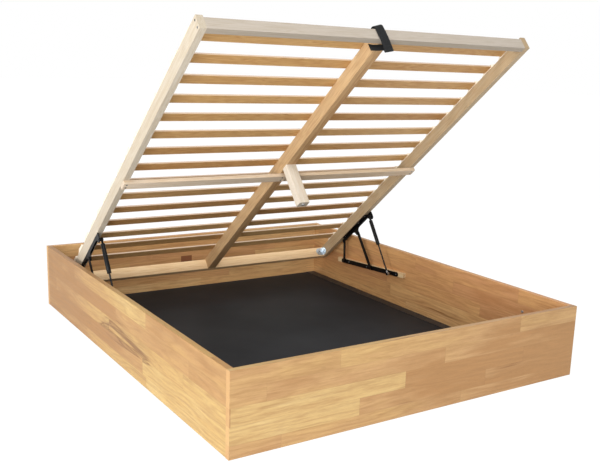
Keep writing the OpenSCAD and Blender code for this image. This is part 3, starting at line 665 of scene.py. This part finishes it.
def repeat_at_points():
    """Tree that puts a part at each point of a mesh, turned to the point's heading, and turned about
    its own axis at random."""
    tree, given = tree_with(
        "Repeat At Points", Part="Object", Size="Float", Random_Turn="Float", Seed="Int",
        Finish="Material")
    points = add(tree, "GeometryNodeMeshToPoints", {"Mesh": given["Geometry"]})
    heading = add(
        tree, "GeometryNodeInputNamedAttribute", {"Name": "heading"}, data_type="FLOAT_VECTOR")
    rotation = add(tree, "FunctionNodeEulerToRotation", [heading])
    placed = put_part(tree, given, points, rotation)
    angle = add(
        tree, "FunctionNodeRandomValue", {"Max": given["Random Turn"], "Seed": given["Seed"]},
        data_type="FLOAT")
    turn = add(tree, "CombineXYZ", {"Z": angle})
    spun = add(tree, "GeometryNodeRotateInstances", {"Instances": placed, "Rotation": turn})
    close_tree(tree, spun, given["Finish"])
    return tree


def repeat_along_lines():
    """Tree that puts a part along lines of edges at an even spacing, each turned with its line."""
    tree, given = tree_with(
        "Repeat Along Lines", Part="Object", Spacing="Float", Size="Float", Finish="Material")
    lines = add(tree, "GeometryNodeMeshToCurve", {"Mesh": given["Geometry"]})
    points = add(
        tree, "GeometryNodeCurveToPoints", {"Curve": lines, "Length": given["Spacing"]},
        mode="LENGTH")
    placed = put_part(tree, given, points, points.outputs["Rotation"])
    close_tree(tree, placed, given["Finish"])
    return tree


def run_tree(tree, carrier, part, values):
    """Mesh that the tree makes from the carrier's geometry and a part's mesh."""
    holder = bpy.data.objects.new("carrier", carrier)
    source = bpy.data.objects.new("part", part)
    for helper in (holder, source):
        bpy.context.scene.collection.objects.link(helper)
    modifier = holder.modifiers.new("repeat", "NODES")
    modifier.node_group = tree
    sockets = {s.name: s.identifier for s in tree.interface.items_tree if s.in_out == "INPUT"}
    for label, value in {"Part": source, "Size": 1.0, **values}.items():
        modifier[sockets[label]] = value
    bpy.context.view_layer.update()
    made = holder.evaluated_get(bpy.context.evaluated_depsgraph_get())
    mesh = bpy.data.meshes.new_from_object(made)
    for helper in (holder, source):
        bpy.data.objects.remove(helper)
    if not mesh.vertices:
        raise RuntimeError(f"{tree.name} made nothing")
    return mesh


def points_mesh(places):
    """A mesh with a vertex and a heading for each matrix."""
    mesh = bpy.data.meshes.new("points")
    mesh.from_pydata([place.to_translation() for place in places], [], [])
    heading = mesh.attributes.new("heading", "FLOAT_VECTOR", "POINT")
    for i, place in enumerate(places):
        heading.data[i].vector = place.to_euler()
    return mesh


def repeated(places, part, turn, seed, finish):
    """Mesh of a part at each of the places, turned about its own axis by up to turn at random."""
    tree = bpy.data.node_groups.get("Repeat At Points") or repeat_at_points()
    return run_tree(
        tree, points_mesh(places), part, {"Random Turn": turn, "Seed": seed, "Finish": finish})


def polylines(lines):
    """A mesh of edges, one line of them through each list of points."""
    points, edges = [], []
    for line in lines:
        edges += [(len(points) + i, len(points) + i + 1) for i in range(len(line) - 1)]
        points += line
    mesh = bpy.data.meshes.new("lines")
    mesh.from_pydata(points, edges, [])
    return mesh


# ---------- fasteners ----------

def cross_head(radius, depth, countersunk):
    """Screw with a cross recess, its head's top at the origin and its shank below."""
    bm = bmesh.new()
    arm, half, steps = 0.62 * radius, 0.13 * radius, 24
    narrowing, sunk = 0.55, 0.55 * depth
    crown = (0.97 if countersunk else 0.78) * radius
    rim = [bm.verts.new(p) for p in circle(crown, 0, steps)]
    outline = [
        Matrix.Rotation(k * math.pi / 2, 3, "Z") @ Vector((x, y, 0))
        for k in range(4) for x, y in ((arm, -half), (arm, half), (half, half))]
    cross = [bm.verts.new(p) for p in outline]
    floor = [bm.verts.new((narrowing * p.x, narrowing * p.y, -sunk)) for p in outline]
    edges = [bm.edges.new(pair) for ring in (rim, cross) for pair in zip(ring, ring[1:] + ring[:1])]
    bmesh.ops.triangle_fill(bm, edges=edges, use_beauty=True)
    join_rings(bm, [cross, floor], len(cross))
    bm.faces.new(floor)
    shank = 0.48 * radius
    if countersunk:
        flank = [(radius, -0.06 * depth), (shank, -depth)]
    else:
        flank = [(0.93 * radius, -0.16 * depth), (radius, -0.45 * depth), (radius, -depth),
                 (shank, -depth)]
    flank += [(shank, -depth - 8 * MM), (0, -depth - 10 * MM)]
    lower = [[bm.verts.new(p) for p in circle(r, h, steps)] for r, h in flank]
    join_rings(bm, [rim] + lower, steps)
    return mesh_from(bm, "cross_head", 40.0)


def stitch(length):
    """One stitch: a short round thread along Z, its ends sunk in."""
    bm = bmesh.new()
    profile = [(0, -0.5), (0.08, -0.42), (0.13, -0.25), (0.14, 0), (0.13, 0.25), (0.08, 0.42), (0, 0.5)]
    turned(bm, [(r * length, h * length) for r, h in profile], steps=8)
    return mesh_from(bm, "stitch", 80.0)


def rivet_dome():
    """Upset rivet head: a low dome with a small dimple in its middle."""
    bm = bmesh.new()
    profile = [
        (0, 0.75), (0.9, 0.8), (1.5, 1.15), (3.2, 1.0), (5.0, 0.6), (6.2, 0.1), (6.3, -0.3), (0, -0.3)]
    turned(bm, [(r * MM, h * MM) for r, h in profile], steps=28)
    return mesh_from(bm, "rivet_dome", 50.0)


def screw_places(node):
    """Heads of a node's screws: the outward place of each and its radius, by whether they are
    countersunk."""
    heads = {True: [], False: []}
    for points in islands(node):
        a, b = pin_ends(points, long_axis(points))
        centre, out, radius = a if a[2] > b[2] else b
        if abs(a[2] - b[2]) < 0.2 * MM:
            continue                        # the leg's threaded stud has no head and lies in the wood
        widest = max((p - centre - out * (p - centre).dot(out)).length for p in points)
        heads[widest - radius < 0.2 * MM].append((facing(centre, out), widest))
    return heads


# ---------- settings ----------

def hex_setting(label, text, value):
    """A colour, written as an sRGB hex value."""
    return bpy.props.StringProperty(name=label, description=text, default=value)


def number_setting(label, text, value, **kind):
    """A number, whose kind is its unit or subtype."""
    return bpy.props.FloatProperty(name=label, description=text, default=value, **kind)


class BedColours(bpy.types.PropertyGroup):
    """Colours of the woods, as sRGB hex values."""
    stave_pale: hex_setting("Pale stave", "Lightest tone of the oiled staves", "E8C98E")
    stave_gold: hex_setting("Gold stave", "Light tone of the oiled staves", "DEBA7C")
    stave_honey: hex_setting("Honey stave", "Middle tone of the oiled staves", "D6AC70")
    stave_rose: hex_setting("Rose stave", "Pinkish tone of the oiled staves", "CC9F6C")
    stave_brown: hex_setting("Brown stave", "Darkest tone of the oiled staves", "BB8A57")
    heart_streak: hex_setting("Heart streak", "Brown streaks of heartwood", "85582F")
    # a dark reddish brown rectangle on the inner face of the head panel, behind the centre rail
    dark_patch: hex_setting("Dark patch", "A short reddish brown patch in the head panel", "7B4A30")
    late_wood: hex_setting("Late wood", "Ring lines in the staves", "A97C4C")
    end_grain: hex_setting("End grain", "Sawn ends of the staves", "B98C5C")


class BedSizes(bpy.types.PropertyGroup):
    """Sizes that only the looks use."""
    stave_length: number_setting("Stave length", "Mean length of a stave", 0.72, unit="LENGTH", min=0.1)
    stave_height: number_setting(
        "Stave height", "Height of a row of staves", 0.065, unit="LENGTH", min=0.02)
    figure_strength: number_setting(
        "Figure", "Share of dark wood in the ring lines", 0.68, subtype="FACTOR", min=0, max=1)
    stitch_spacing: number_setting("Stitch spacing", "Distance between stitches", 3.5 * MM, unit="LENGTH")
    stitch_size: number_setting("Stitch length", "Length of a stitch", 2.6 * MM, unit="LENGTH")


class BedStudio(bpy.types.PropertyGroup):
    """Camera and light."""
    azimuth: number_setting(
        "Azimuth", "Camera's turn round the bed from the foot", math.radians(-34.52), subtype="ANGLE")
    elevation: number_setting("Elevation", "Camera's tilt down", math.radians(12.85), subtype="ANGLE")
    roll: number_setting("Roll", "Camera's roll", math.radians(2.28), subtype="ANGLE")
    position: bpy.props.FloatVectorProperty(
        name="Position", description="Place of the camera", default=(-1.9947, -3.2868, 1.2737),
        subtype="TRANSLATION")
    lens: number_setting("Lens", "Focal length on a 36 mm sensor", 50.53, unit="CAMERA")
    shift: bpy.props.FloatVectorProperty(
        name="Shift", description="Shift of the lens, as a share of the frame's width", size=2,
        default=(-0.0575, 0.0418))
    ambient: number_setting("Ambient", "Strength of the light from all round", 0.6)
    glow: number_setting(
        "Floor glow", "Strength of the light from the floor", 0.1, subtype="FACTOR", min=0, max=1)
    key: number_setting("Key", "Power of the lamp beside the camera", 255.0, unit="POWER")
    side: number_setting("Side", "Power of the small lamp on the left", 100.0, unit="POWER")
    top: number_setting("Top", "Power of the lamp above", 190.0, unit="POWER")


# ---------- operators ----------

class BED_OT_panels(bpy.types.Operator):
    """Oil the four glued panels"""
    bl_idname = "bed.panels"
    bl_label = "Panels"

    def execute(self, context):
        middle = sum(corner.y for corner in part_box("panel_head")) / 2
        never = (4, 5)      # both beyond the end of a panel, which gets no browner
        # Each panel's tint is partly the wood's hue and partly painted light and shade: it darkens the
        # left panel and, a little, the foot panel, which the lamps light most, and turns the head and
        # right panels, whose inner faces lie in the box's shade, rosier.
        for end, run, seed, browner, tint_and_painted_light, own in (
                ("foot", "X", 3.0, (-0.2, 1.0), "EFF3F8", {"hearts": -0.07}),
                ("head", "X", 3.0, never, "FFF8FF", {"dark_at": (-0.06, 0.17, middle)}),
                # the left panel gets browner towards its far end, partly its wood and partly painted
                # shade
                ("left", "Y", 14.0, (-0.1, 0.55), "E4E3D8", {"heart_at": (-0.05, 0.135)}),
                ("right", "Y", 12.0, never, "FFF2F5", {"hearts": -0.06})):
            wood = oiled_staves(f"oiled_beech_{end}", BOX, run, seed, browner, tint_and_painted_light, **own)
            finish_nodes(wood, f"panel_{end}")
        return {"FINISHED"}


class BED_OT_floor_board(bpy.types.Operator):
    """Face the floor board and its edging"""
    bl_idname = "bed.floor_board"
    bl_label = "Floor board"

    def execute(self, context):
        finish_nodes(melamine_board(), "floor_board")
        finish_nodes(moulded_plastic("edging_strip", "242427", "1B1B1E", 0.5), "floor_edging")
        return {"FINISHED"}


class BED_OT_box_blocks(bpy.types.Operator):
    """Plane the battens and the rests in the box"""
    bl_idname = "bed.box_blocks"
    bl_label = "Battens and rests"

    def execute(self, context):
        pale = planed_wood(
            "planed_spruce_battens", BOX, "Y", "EAD3AC", "D2AE7C", (WHOLE, 0.4, WHOLE))
        finish_nodes(pale, "batten_left", "batten_right")
        brown = planed_wood(
            "planed_beech_blocks", BOX, "X", "E2C193", "C99A67", (0.4, WHOLE, WHOLE))
        finish_nodes(brown, "foot_rest_left", "foot_rest_right", "corner_dowels")
        return {"FINISHED"}


class BED_OT_base_frame(bpy.types.Operator):
    """Plane the rails and the leg of the slatted base"""
    bl_idname = "bed.base_frame"
    bl_label = "Base frame"

    # node, wood, run of the grain, light tone, dark tone and cell of each piece
    # The side rails and the foot rail have darker, greyer tones than the cross rail as painted shade, and
    # the head rail's lighter golden tone is partly painted light.
    pieces = (
        ("side_rail_left", "planed_birch_left_rail_painted_shade", "Y", "CCC3B4", "BAAA91", (WHOLE, 0.6, WHOLE)),
        ("side_rail_right", "planed_birch_right_rail_painted_shade", "Y", "BDAA8D", "AB8F6A", (WHOLE, 0.6, WHOLE)),
        ("cross_rail", "planed_birch_cross_rail", "X", "E4D4C0", "D0B490", (WHOLE, 0.5, 0.2)),
        ("head_rail", "planed_beech_head_rail_painted_light", "X", "EFCFA2", "D9AF7C", (WHOLE, WHOLE, WHOLE)),
        ("foot_rail", "planed_birch_foot_rail_painted_shade", "X", "AEA498", "9C907E", (WHOLE, WHOLE, WHOLE)),
        ("centre_rail", "planed_beech_centre_rail", "Y", "CDAC80", "A57C52", (WHOLE, WHOLE, WHOLE)),
        ("leg", "planed_birch_leg", "Z", "E7DED1", "D8C8B0", (WHOLE, WHOLE, WHOLE)))

    def execute(self, context):
        for node, name, run, light, dark, cell in self.pieces:
            finish_nodes(planed_wood(name, BASE, run, light, dark, cell), node)
        finish_nodes(zinc_plated_steel("zinc_plated_glide", "A5A6A8", "BDBEC0", 0.45), "leg_glide")
        return {"FINISHED"}


class BED_OT_slats(bpy.types.Operator):
    """Finish the fifteen slats"""
    bl_idname = "bed.slats"
    bl_label = "Slats"

    spacing = 0.119         # of the slats along the base, in metres

    def execute(self, context):
        wood = planed_wood(
            "laminated_beech_slats", BASE, "X", "D9B27A", "AF7C47", (WHOLE, self.spacing, WHOLE),
            # greyish edges of the slats' layers, partly painted shade
            rough=0.48, ring_mm=(300, 14), veneer_edge_and_shade="C6B8AA")
        finish_nodes(wood, *sorted(n for n in frame["nodes"] if n.startswith("slat_")))
        return {"FINISHED"}


class BED_OT_slat_holders(bpy.types.Operator):
    """Mould the slat holders on both side rails"""
    bl_idname = "bed.slat_holders"
    bl_label = "Slat holders"

    def execute(self, context):
        plastic = moulded_plastic("moulded_holder_plastic", "F2E6D4", "E8D8C0", 0.42)
        finish_nodes(plastic, "holders_left", "holders_right")
        return {"FINISHED"}


class BED_OT_fitting(bpy.types.Operator):
    """Coat the lifting fitting's rails, links and plates"""
    bl_idname = "bed.fitting"
    bl_label = "Lifting fitting"

    def execute(self, context):
        parts = ("base_rail", "rear_link", "front_link", "lid_plate")
        finish_nodes(powder_coated_steel(), *(f"{part}_{side}" for part in parts for side in SIDES))
        pins = zinc_plated_steel("black_zinc_pins", "1C1C1E", "2C2C2E", 0.4)
        finish_nodes(pins, "base_pins", "plate_pins")
        return {"FINISHED"}


class BED_OT_struts(bpy.types.Operator):
    """Turn the gas struts: rolled cylinder, bushed eyes and zinc plated rod end"""
    bl_idname = "bed.struts"
    bl_label = "Gas struts"

    # of the cylinder, in millimetres: neck to the eye, rod guide, closed end and wall
    neck, guide, end_wall, wall = 12, 12, 4, 1.5

    def execute(self, context):
        coat = bpy.data.materials["powder_coated_steel"]
        rod = zinc_plated_steel("nitrided_rod", "26272A", "3A3B3E", 0.2)
        finish_nodes(rod, "strut_rod_left", "strut_rod_right")
        zinc = zinc_plated_steel("zinc_plated_rod_end", "8C8E91", "A9ABAD", 0.35)
        for side in SIDES:
            axes = strut_axes(side)
            low, high = reach(f"strut_end_{side}", axes)
            eye, width = -low.z, high.x - low.x
            place_piece(
                self.rod_end(axes, high.z, eye, width), f"strut_rod_end_{side}", zinc, f"rod_{side}",
                (f"strut_end_{side}",))
            place_piece(
                self.cylinder(axes, reach(f"strut_cylinder_{side}", axes), eye, width),
                f"strut_tube_{side}", coat, f"cylinder_{side}",
                (f"strut_cylinder_{side}",))
        return {"FINISHED"}

    def rod_end(self, axes, top, eye, width):
        """The rod's eye, with a grooved sleeve up to a chamfered top."""
        bm = bmesh.new()
        eye_ring(bm, axes, eye, width)
        sleeve = 5.5 * MM
        profile = [
            (0, 0.85 * eye), (sleeve, 0.85 * eye), (sleeve, eye + MM), (0.9 * sleeve, eye + 1.6 * MM),
            (0.9 * sleeve, eye + 2.6 * MM), (sleeve, eye + 3.2 * MM), (sleeve, top - 1.2 * MM),
            (0.86 * sleeve, top), (0, top)]
        turned(bm, profile, axes)
        return mesh_from(bm, "rod_end")

    def cylinder(self, axes, corners, eye, width):
        """The hollow cylinder with its rolled mouth, and the neck and eye at its closed end."""
        low, high = corners
        pivot = high.z - eye
        bm = bmesh.new()
        eye_ring(bm, axes @ Matrix.Translation((0, 0, pivot)), eye, width)
        mouth, closed = low.z / MM, (pivot - eye) / MM - self.neck
        outer = (high.x - low.x) / 2 / MM
        inner = outer - self.wall
        hollow = [
            (0, closed - self.end_wall), (inner, closed - self.end_wall), (inner, mouth + self.guide),
            (4.3, mouth + self.guide), (4.3, mouth - 0.8)]
        skin = [
            (5.6, mouth - 0.8), (6.4, mouth), (0.84 * outer, mouth), (0.95 * outer, mouth + 0.5),
            (outer, mouth + 1.8), (outer, mouth + 6), (0.93 * outer, mouth + 7.2),
            (0.93 * outer, mouth + 8.2), (outer, mouth + 9.4), (outer, closed - 3.2),
            (0.94 * outer, closed - 1.2), (0.78 * outer, closed), (6.4, closed + 0.6),
            (5.2, closed + 2.4), (5.0, closed + self.neck + 1.5), (0, closed + self.neck + 1.5)]
        turned(bm, [(r * MM, z * MM) for r, z in hollow + skin], axes, 48)
        return mesh_from(bm, "cylinder")


class BED_OT_screws(bpy.types.Operator):
    """Drive the cross-head screws"""
    bl_idname = "bed.screws"
    bl_label = "Screws"

    head_depth = 2.4 * MM
    bodies = {"box_screws": "box", "frame_screws": "slatted_base", "plate_screws": "slatted_base"}

    def execute(self, context):
        steel = zinc_plated_steel("zinc_plated_screws", "5E6064", "85878B", 0.36)
        for node, body in self.bodies.items():
            replaced = (node,)
            for countersunk, heads in screw_places(node).items():
                if not heads:
                    continue
                head = cross_head(heads[0][1], self.head_depth, countersunk)
                mesh = repeated([place for place, _ in heads], head, math.pi / 2, 7, steel)
                kind = "flat" if countersunk else "pan"
                place_piece(mesh, f"{node}_{kind}", steel, body, replaced)
                replaced = ()
        return {"FINISHED"}


class BED_OT_rivets(bpy.types.Operator):
    """Upset the rivet heads on the pivot pins"""
    bl_idname = "bed.rivets"
    bl_label = "Rivets"

    least_radius = 5 * MM   # of a pin's inner end that carries a rivet

    def execute(self, context):
        steel = bpy.data.materials["black_zinc_pins"]
        for node, body in (("base_pins", "box"), ("plate_pins", "slatted_base")):
            places = []
            for points in islands(node):
                centre, out, radius = min(pin_ends(points, ACROSS_BED), key=lambda end: abs(end[0].x))
                if radius > self.least_radius:
                    places.append(facing(centre, out))
            mesh = repeated(places, rivet_dome(), math.pi, 3, steel)
            place_piece(mesh, f"{node}_rivets", steel, body)
        return {"FINISHED"}


class BED_OT_brackets(bpy.types.Operator):
    """Plate the corner brackets"""
    bl_idname = "bed.brackets"
    bl_label = "Corner brackets"

    def execute(self, context):
        zinc = zinc_plated_steel("zinc_plated_bracket", "A9B4BE", "E2EBF2", 0.3)
        finish_nodes(zinc, "corner_brackets")
        return {"FINISHED"}


class BED_OT_buffers(bpy.types.Operator):
    """Press the rubber buffers into the side panels"""
    bl_idname = "bed.buffers"
    bl_label = "Buffers"

    # (radius, height) of a buffer as shares of the CAD disc's, from its foot to its hollow middle
    profile = (
        (0, -0.02), (1, -0.02), (1, 0.18), (0.9, 0.7), (0.82, 0.92), (0.7, 1), (0.52, 1), (0.45, 0.9),
        (0.42, 0.45), (0, 0.45))

    def execute(self, context):
        low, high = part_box("side_buffers")
        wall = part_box("panel_right")[0].x
        radius = (high.z - low.z) / 2
        places, height = [], 0.0
        for points in islands("side_buffers"):
            top = min((p.x for p in points), key=abs)
            height = wall - abs(top)
            middle = Vector((math.copysign(wall, top), (low.y + high.y) / 2, (low.z + high.z) / 2))
            places.append(facing(middle, -math.copysign(1, top) * ACROSS_BED))
        bm = bmesh.new()
        turned(bm, [(r * radius, h * height) for r, h in self.profile], steps=36)
        rubber = moulded_plastic("grey_rubber", "8A8782", "77746F", 0.7)
        mesh = repeated(places, mesh_from(bm, "buffer"), 0.0, 1, rubber)
        place_piece(mesh, "pressed_buffers", rubber, "box", ("side_buffers",))
        return {"FINISHED"}


class BED_OT_straps(bpy.types.Operator):
    """Weave, hem and stitch the pull strap and the keeper strap"""
    bl_idname = "bed.straps"
    bl_label = "Straps"

    fill, pull_width = 0.97, 0.93       # shares of the CAD strap's thickness and width that a band takes

    def execute(self, context):
        webbing = woven_webbing()
        thread = moulded_plastic("polyester_thread", "2E3032", "1E1F21", 0.6)
        lines = self.pull_strap(webbing) + self.keeper_strap(webbing)
        sizes = context.scene.bed_sizes
        mesh = run_tree(
            repeat_along_lines(), polylines(lines), stitch(sizes.stitch_size),
            {"Spacing": sizes.stitch_spacing, "Finish": thread})
        place_piece(mesh, "strap_stitches", thread, "slatted_base")
        return {"FINISHED"}

    def place_band(self, frames, half, thick, name, webbing, replaced=()):
        """A band of webbing as a piece of the slatted base."""
        place_piece(
            band(frames, half, self.fill * thick), name, webbing, "slatted_base", replaced)

    def seams(self, frames, half, raised, rows):
        """Stitch lines on a band: one 3 mm inside each edge, and rows across at some frames."""
        inset = half - 3 * MM
        lines = [[m + a * u + n * raised for m, a, n in frames] for u in (-inset, inset)]
        for i in rows:
            m, a, n = frames[i]
            lines.append([m + a * u + n * raised for u in (-inset, 0, inset)])
        return lines

    def pull_strap(self, webbing):
        """The loose tail bulges off the rail, and its end is folded under as a hem."""
        low, high = reach("pull_strap", BASE)
        rail_low, rail_high = reach("foot_rail", BASE)
        thick = ((high.y - low.y) - (rail_high.y - rail_low.y)) / 2
        outside = (high.y - low.y) / 2
        radius = outside - thick / 2
        middle, crown = (low.y + high.y) / 2, high.z - outside
        end, hem, bulge, slant = low.z + thick, 17 * MM, 2.5 * MM, math.radians(17)
        tail_steps, inside_steps = 20, 6
        foot = min(p.z for p in vertices("pull_strap", BASE) if p.y > middle)
        face = middle - radius
        fold = [(face + 1.1 * thick, end + hem), (face + 1.1 * thick, end + 1 * MM)]
        fold += [
            (face + 0.55 * thick * (1 + math.cos(a)), end - 0.55 * thick * math.sin(a))
            for a in (math.radians(t) for t in (20, 50, 90, 130, 160))]
        tail = []
        for i in range(tail_steps + 1):
            share = i / tail_steps
            swell = math.sin(math.pi * share) ** 1.3
            tail.append((face - bulge * swell, end + (crown - end) * share))
        arch = [
            (middle + radius * math.cos(a), crown + radius * math.sin(a))
            for a in (math.radians(t) for t in range(168, 0, -12))]
        inside = [
            (middle + radius, crown + (foot - crown) * i / inside_steps)
            for i in range(inside_steps + 1)]
        half = self.pull_width * (high.x - low.x) / 2
        path, lean = fold + tail + arch + inside, []
        for i, (y, z) in enumerate(path):
            share = min(1.0, max(0.0, (len(path) - len(inside) - i) / len(arch))) ** 0.7
            out = Vector((0, y - middle, max(0.0, z - crown))).normalized()
            if i < len(fold):
                out = Vector((0, -1, 0))
            lean.append(out * math.tan(slant) * share)
            path[i] = (y + half * lean[i].y, z + half * lean[i].z)
        frames = sweep(BASE, path, (low.x + high.x) / 2, lean)
        self.place_band(frames, half, thick, "pull_strap_band", webbing, ("pull_strap",))
        outer = frames[len(fold):len(fold) + len(tail)]
        side = thick / 2 * math.copysign(1, outer[0][2].dot(BASE.to_3x3() @ Vector((0, -1, 0))))
        return self.seams(outer, half, side, (1, 4))

    def keeper_strap(self, webbing):
        """The band sags between its ends, and a flap of it is screwed under the centre rail."""
        low, high = reach("keeper_strap", BASE)
        points = vertices("keeper_strap", BASE)
        thick = min(p.y for p in points if p.y > low.y + MM) - low.y
        flap_from = min(p.x for p in points if p.y > low.y + 2 * thick)
        level, half = (low.z + high.z) / 2, (high.z - low.z) / 2 - 0.5 * MM
        sway, slack, most_lean, steps = 1.6 * MM, 1.2 * MM, math.radians(6), 24
        frames = []
        for i in range(steps + 1):
            share = i / steps
            sag = sway * math.sin(2 * math.pi * share) + slack
            lean = most_lean * math.sin(math.pi * share)
            across = Vector((0, math.sin(lean), math.cos(lean)))
            middle = Vector((low.x + (high.x - low.x) * share, low.y + thick / 2 + sag, level))
            normal = ACROSS_BED.cross(across)
            frames.append([BASE @ middle] + [BASE.to_3x3() @ v for v in (across, normal)])
        self.place_band(frames, half, thick, "keeper_strap_band", webbing, ("keeper_strap",))
        height = high.z - thick / 2
        flap = [(low.y + thick * 0.9, height - 5 * MM), (low.y + thick, height - 2 * MM),
                (low.y + thick * 1.6, height)]
        flap += [(low.y + thick * 2 + (high.y - low.y - 2 * thick) * i / 6, height) for i in range(7)]
        flap_frames = sweep(BASE, flap, (flap_from + high.x) / 2)
        flap_half = (high.x - flap_from) / 2
        self.place_band(flap_frames, flap_half, thick, "keeper_strap_flap", webbing)
        self.washers(flap_from, high, thick)
        return (self.seams(frames, half, thick / 2, (1, steps - 1))
                + self.seams(frames, half, -thick / 2, ()))

    def washers(self, flap_from, high, thick):
        """Two washers and pan head screws on the flap."""
        steel = bpy.data.materials["zinc_plated_screws"]
        ring = [(2.4, -0.2), (6.4, -0.2), (6.7, 0.1), (6.7, 0.6), (6.4, 0.9), (2.4, 0.9)]
        from_end, head_height = 9 * MM, 3 * MM
        bm = bmesh.new()
        places = []
        for share in (0.28, 0.72):
            point = Vector((
                flap_from + (high.x - flap_from) * share, high.y - from_end, high.z - thick))
            place = BASE @ facing(point, Vector((0, 0, -1)))
            turned(bm, [(r * MM, z * MM) for r, z in ring], place, 36, closed=True)
            places.append(place @ Matrix.Translation((0, 0, head_height)))
        place_piece(
            mesh_from(bm, "washers"), "strap_washers", steel, "slatted_base")
        screw = cross_head(4.2 * MM, 2.2 * MM, False)
        mesh = repeated(places, screw, math.pi / 2, 5, steel)
        place_piece(mesh, "strap_screws", steel, "slatted_base")


class BED_OT_studio(bpy.types.Operator):
    """Set up the floor, the lamps and the camera"""
    bl_idname = "bed.studio"
    bl_label = "Studio"

    def execute(self, context):
        scene, studio = context.scene, context.scene.bed_studio
        scene.view_settings.view_transform = "Standard"
        set_world(scene, studio.ambient)
        lay_floor(studio.glow)
        hang_lamp("key", (-4.5, -5.3, 1.4), 3.6, studio.key)
        hang_lamp("side", (-5.4, -0.9, 0.78), 0.9, studio.side)
        hang_lamp("top", (-1.5, -2.5, 6.0), 2.0, studio.top)
        aim_camera(scene, studio)
        return {"FINISHED"}


def seen_directly(tree):
    """Is the ray from the camera, or one that shows the studio in gloss or glass?"""
    path = add(tree, "LightPath").outputs
    seen = add(
        tree, "Math", [path["Is Camera Ray"], path["Is Glossy Ray"]], operation="MAXIMUM")
    return add(tree, "Math", [seen, path["Is Transmission Ray"]], operation="MAXIMUM")


def set_world(scene, ambient):
    """White where it is seen, and a weaker soft light on everything."""
    world = bpy.data.worlds.new("studio")
    scene.world = world
    world.use_nodes = True
    tree = world.node_tree
    tree.nodes.clear()
    strength = add(tree, "MapRange", [seen_directly(tree), 0.0, 1.0, ambient, 1.0])
    background = add(tree, "Background", {"Color": "FFFFFF", "Strength": strength})
    add(tree, "OutputWorld", [background])


def lay_floor(glow):
    """A large pale floor, lit from below like a light table. Where it is seen it is nearly all plain
    white, and the small rest of paper keeps the bed's shadow."""
    made, tree = new_material("studio_floor")
    share = add(tree, "MapRange", [seen_directly(tree), 0.0, 1.0, glow, 0.93])
    paper = add(tree, "BsdfDiffuse", {"Color": "F0F0F0"})
    white = add(tree, "Emission", {"Color": "FFFFFF", "Strength": 1.06})
    add(tree, "OutputMaterial", [add(tree, "MixShader", [share, paper, white])])
    bm = bmesh.new()
    bmesh.ops.create_grid(bm, x_segments=2, y_segments=2, size=40.0)
    mesh = bpy.data.meshes.new("floor")
    bm.to_mesh(mesh)
    bm.free()
    mesh.materials.append(made)
    floor = bpy.data.objects.new("floor", mesh)
    bpy.context.scene.collection.objects.link(floor)
    floor.location.z = -0.5 * MM


def hang_lamp(name, place, width, power):
    """A square soft lamp at place, turned to the bed's middle."""
    lamp = bpy.data.lights.new(name, "AREA")
    lamp.size = width
    lamp.energy = power
    holder = bpy.data.objects.new(name, lamp)
    holder.location = place
    to_bed = Vector((0, 0, 0.4)) - holder.location
    holder.rotation_euler = to_bed.to_track_quat("-Z", "Y").to_euler()
    bpy.context.scene.collection.objects.link(holder)


def aim_camera(scene, studio):
    """The camera at the measured place and angles."""
    data = bpy.data.cameras.new("camera")
    data.lens = studio.lens
    data.sensor_width = 36.0
    data.shift_x, data.shift_y = studio.shift
    data.clip_end = 200.0
    camera = bpy.data.objects.new("camera", data)
    turn = Euler((math.pi / 2 - studio.elevation, 0, studio.azimuth)).to_matrix()
    rolled = turn @ Matrix.Rotation(studio.roll, 3, "Z")
    camera.matrix_world = Matrix.Translation(studio.position) @ rolled.to_4x4()
    scene.collection.objects.link(camera)
    scene.camera = camera


class BED_PT_panel(bpy.types.Panel):
    """Lists the bed's settings and operators"""
    bl_label = "Bed"
    bl_space_type = "VIEW_3D"
    bl_region_type = "UI"
    bl_category = "Bed"

    def draw(self, context):
        for group in (context.scene.bed_colours, context.scene.bed_sizes, context.scene.bed_studio):
            box = self.layout.box()
            for key in group.bl_rna.properties.keys():
                if key not in ("rna_type", "name"):
                    box.prop(group, key)
        for step in STEPS:
            self.layout.operator(step.bl_idname)


STEPS = (
    BED_OT_studio, BED_OT_panels, BED_OT_floor_board, BED_OT_box_blocks, BED_OT_base_frame,
    BED_OT_slats, BED_OT_slat_holders, BED_OT_fitting, BED_OT_struts, BED_OT_screws, BED_OT_rivets,
    BED_OT_brackets, BED_OT_buffers, BED_OT_straps)
SETTINGS = {"bed_colours": BedColours, "bed_sizes": BedSizes, "bed_studio": BedStudio}


def register():
    for kind in (*SETTINGS.values(), *STEPS, BED_PT_panel):
        bpy.utils.register_class(kind)
    for name, kind in SETTINGS.items():
        setattr(bpy.types.Scene, name, bpy.props.PointerProperty(type=kind))


def unregister():
    for name in SETTINGS:
        delattr(bpy.types.Scene, name)
    for kind in reversed((*SETTINGS.values(), *STEPS, BED_PT_panel)):
        bpy.utils.unregister_class(kind)


def main():
    """Dresses the bed step by step."""
    register()
    for step in STEPS:
        section, name = step.bl_idname.split(".")
        getattr(getattr(bpy.ops, section), name)()


if __name__ == "__main__":
    main()
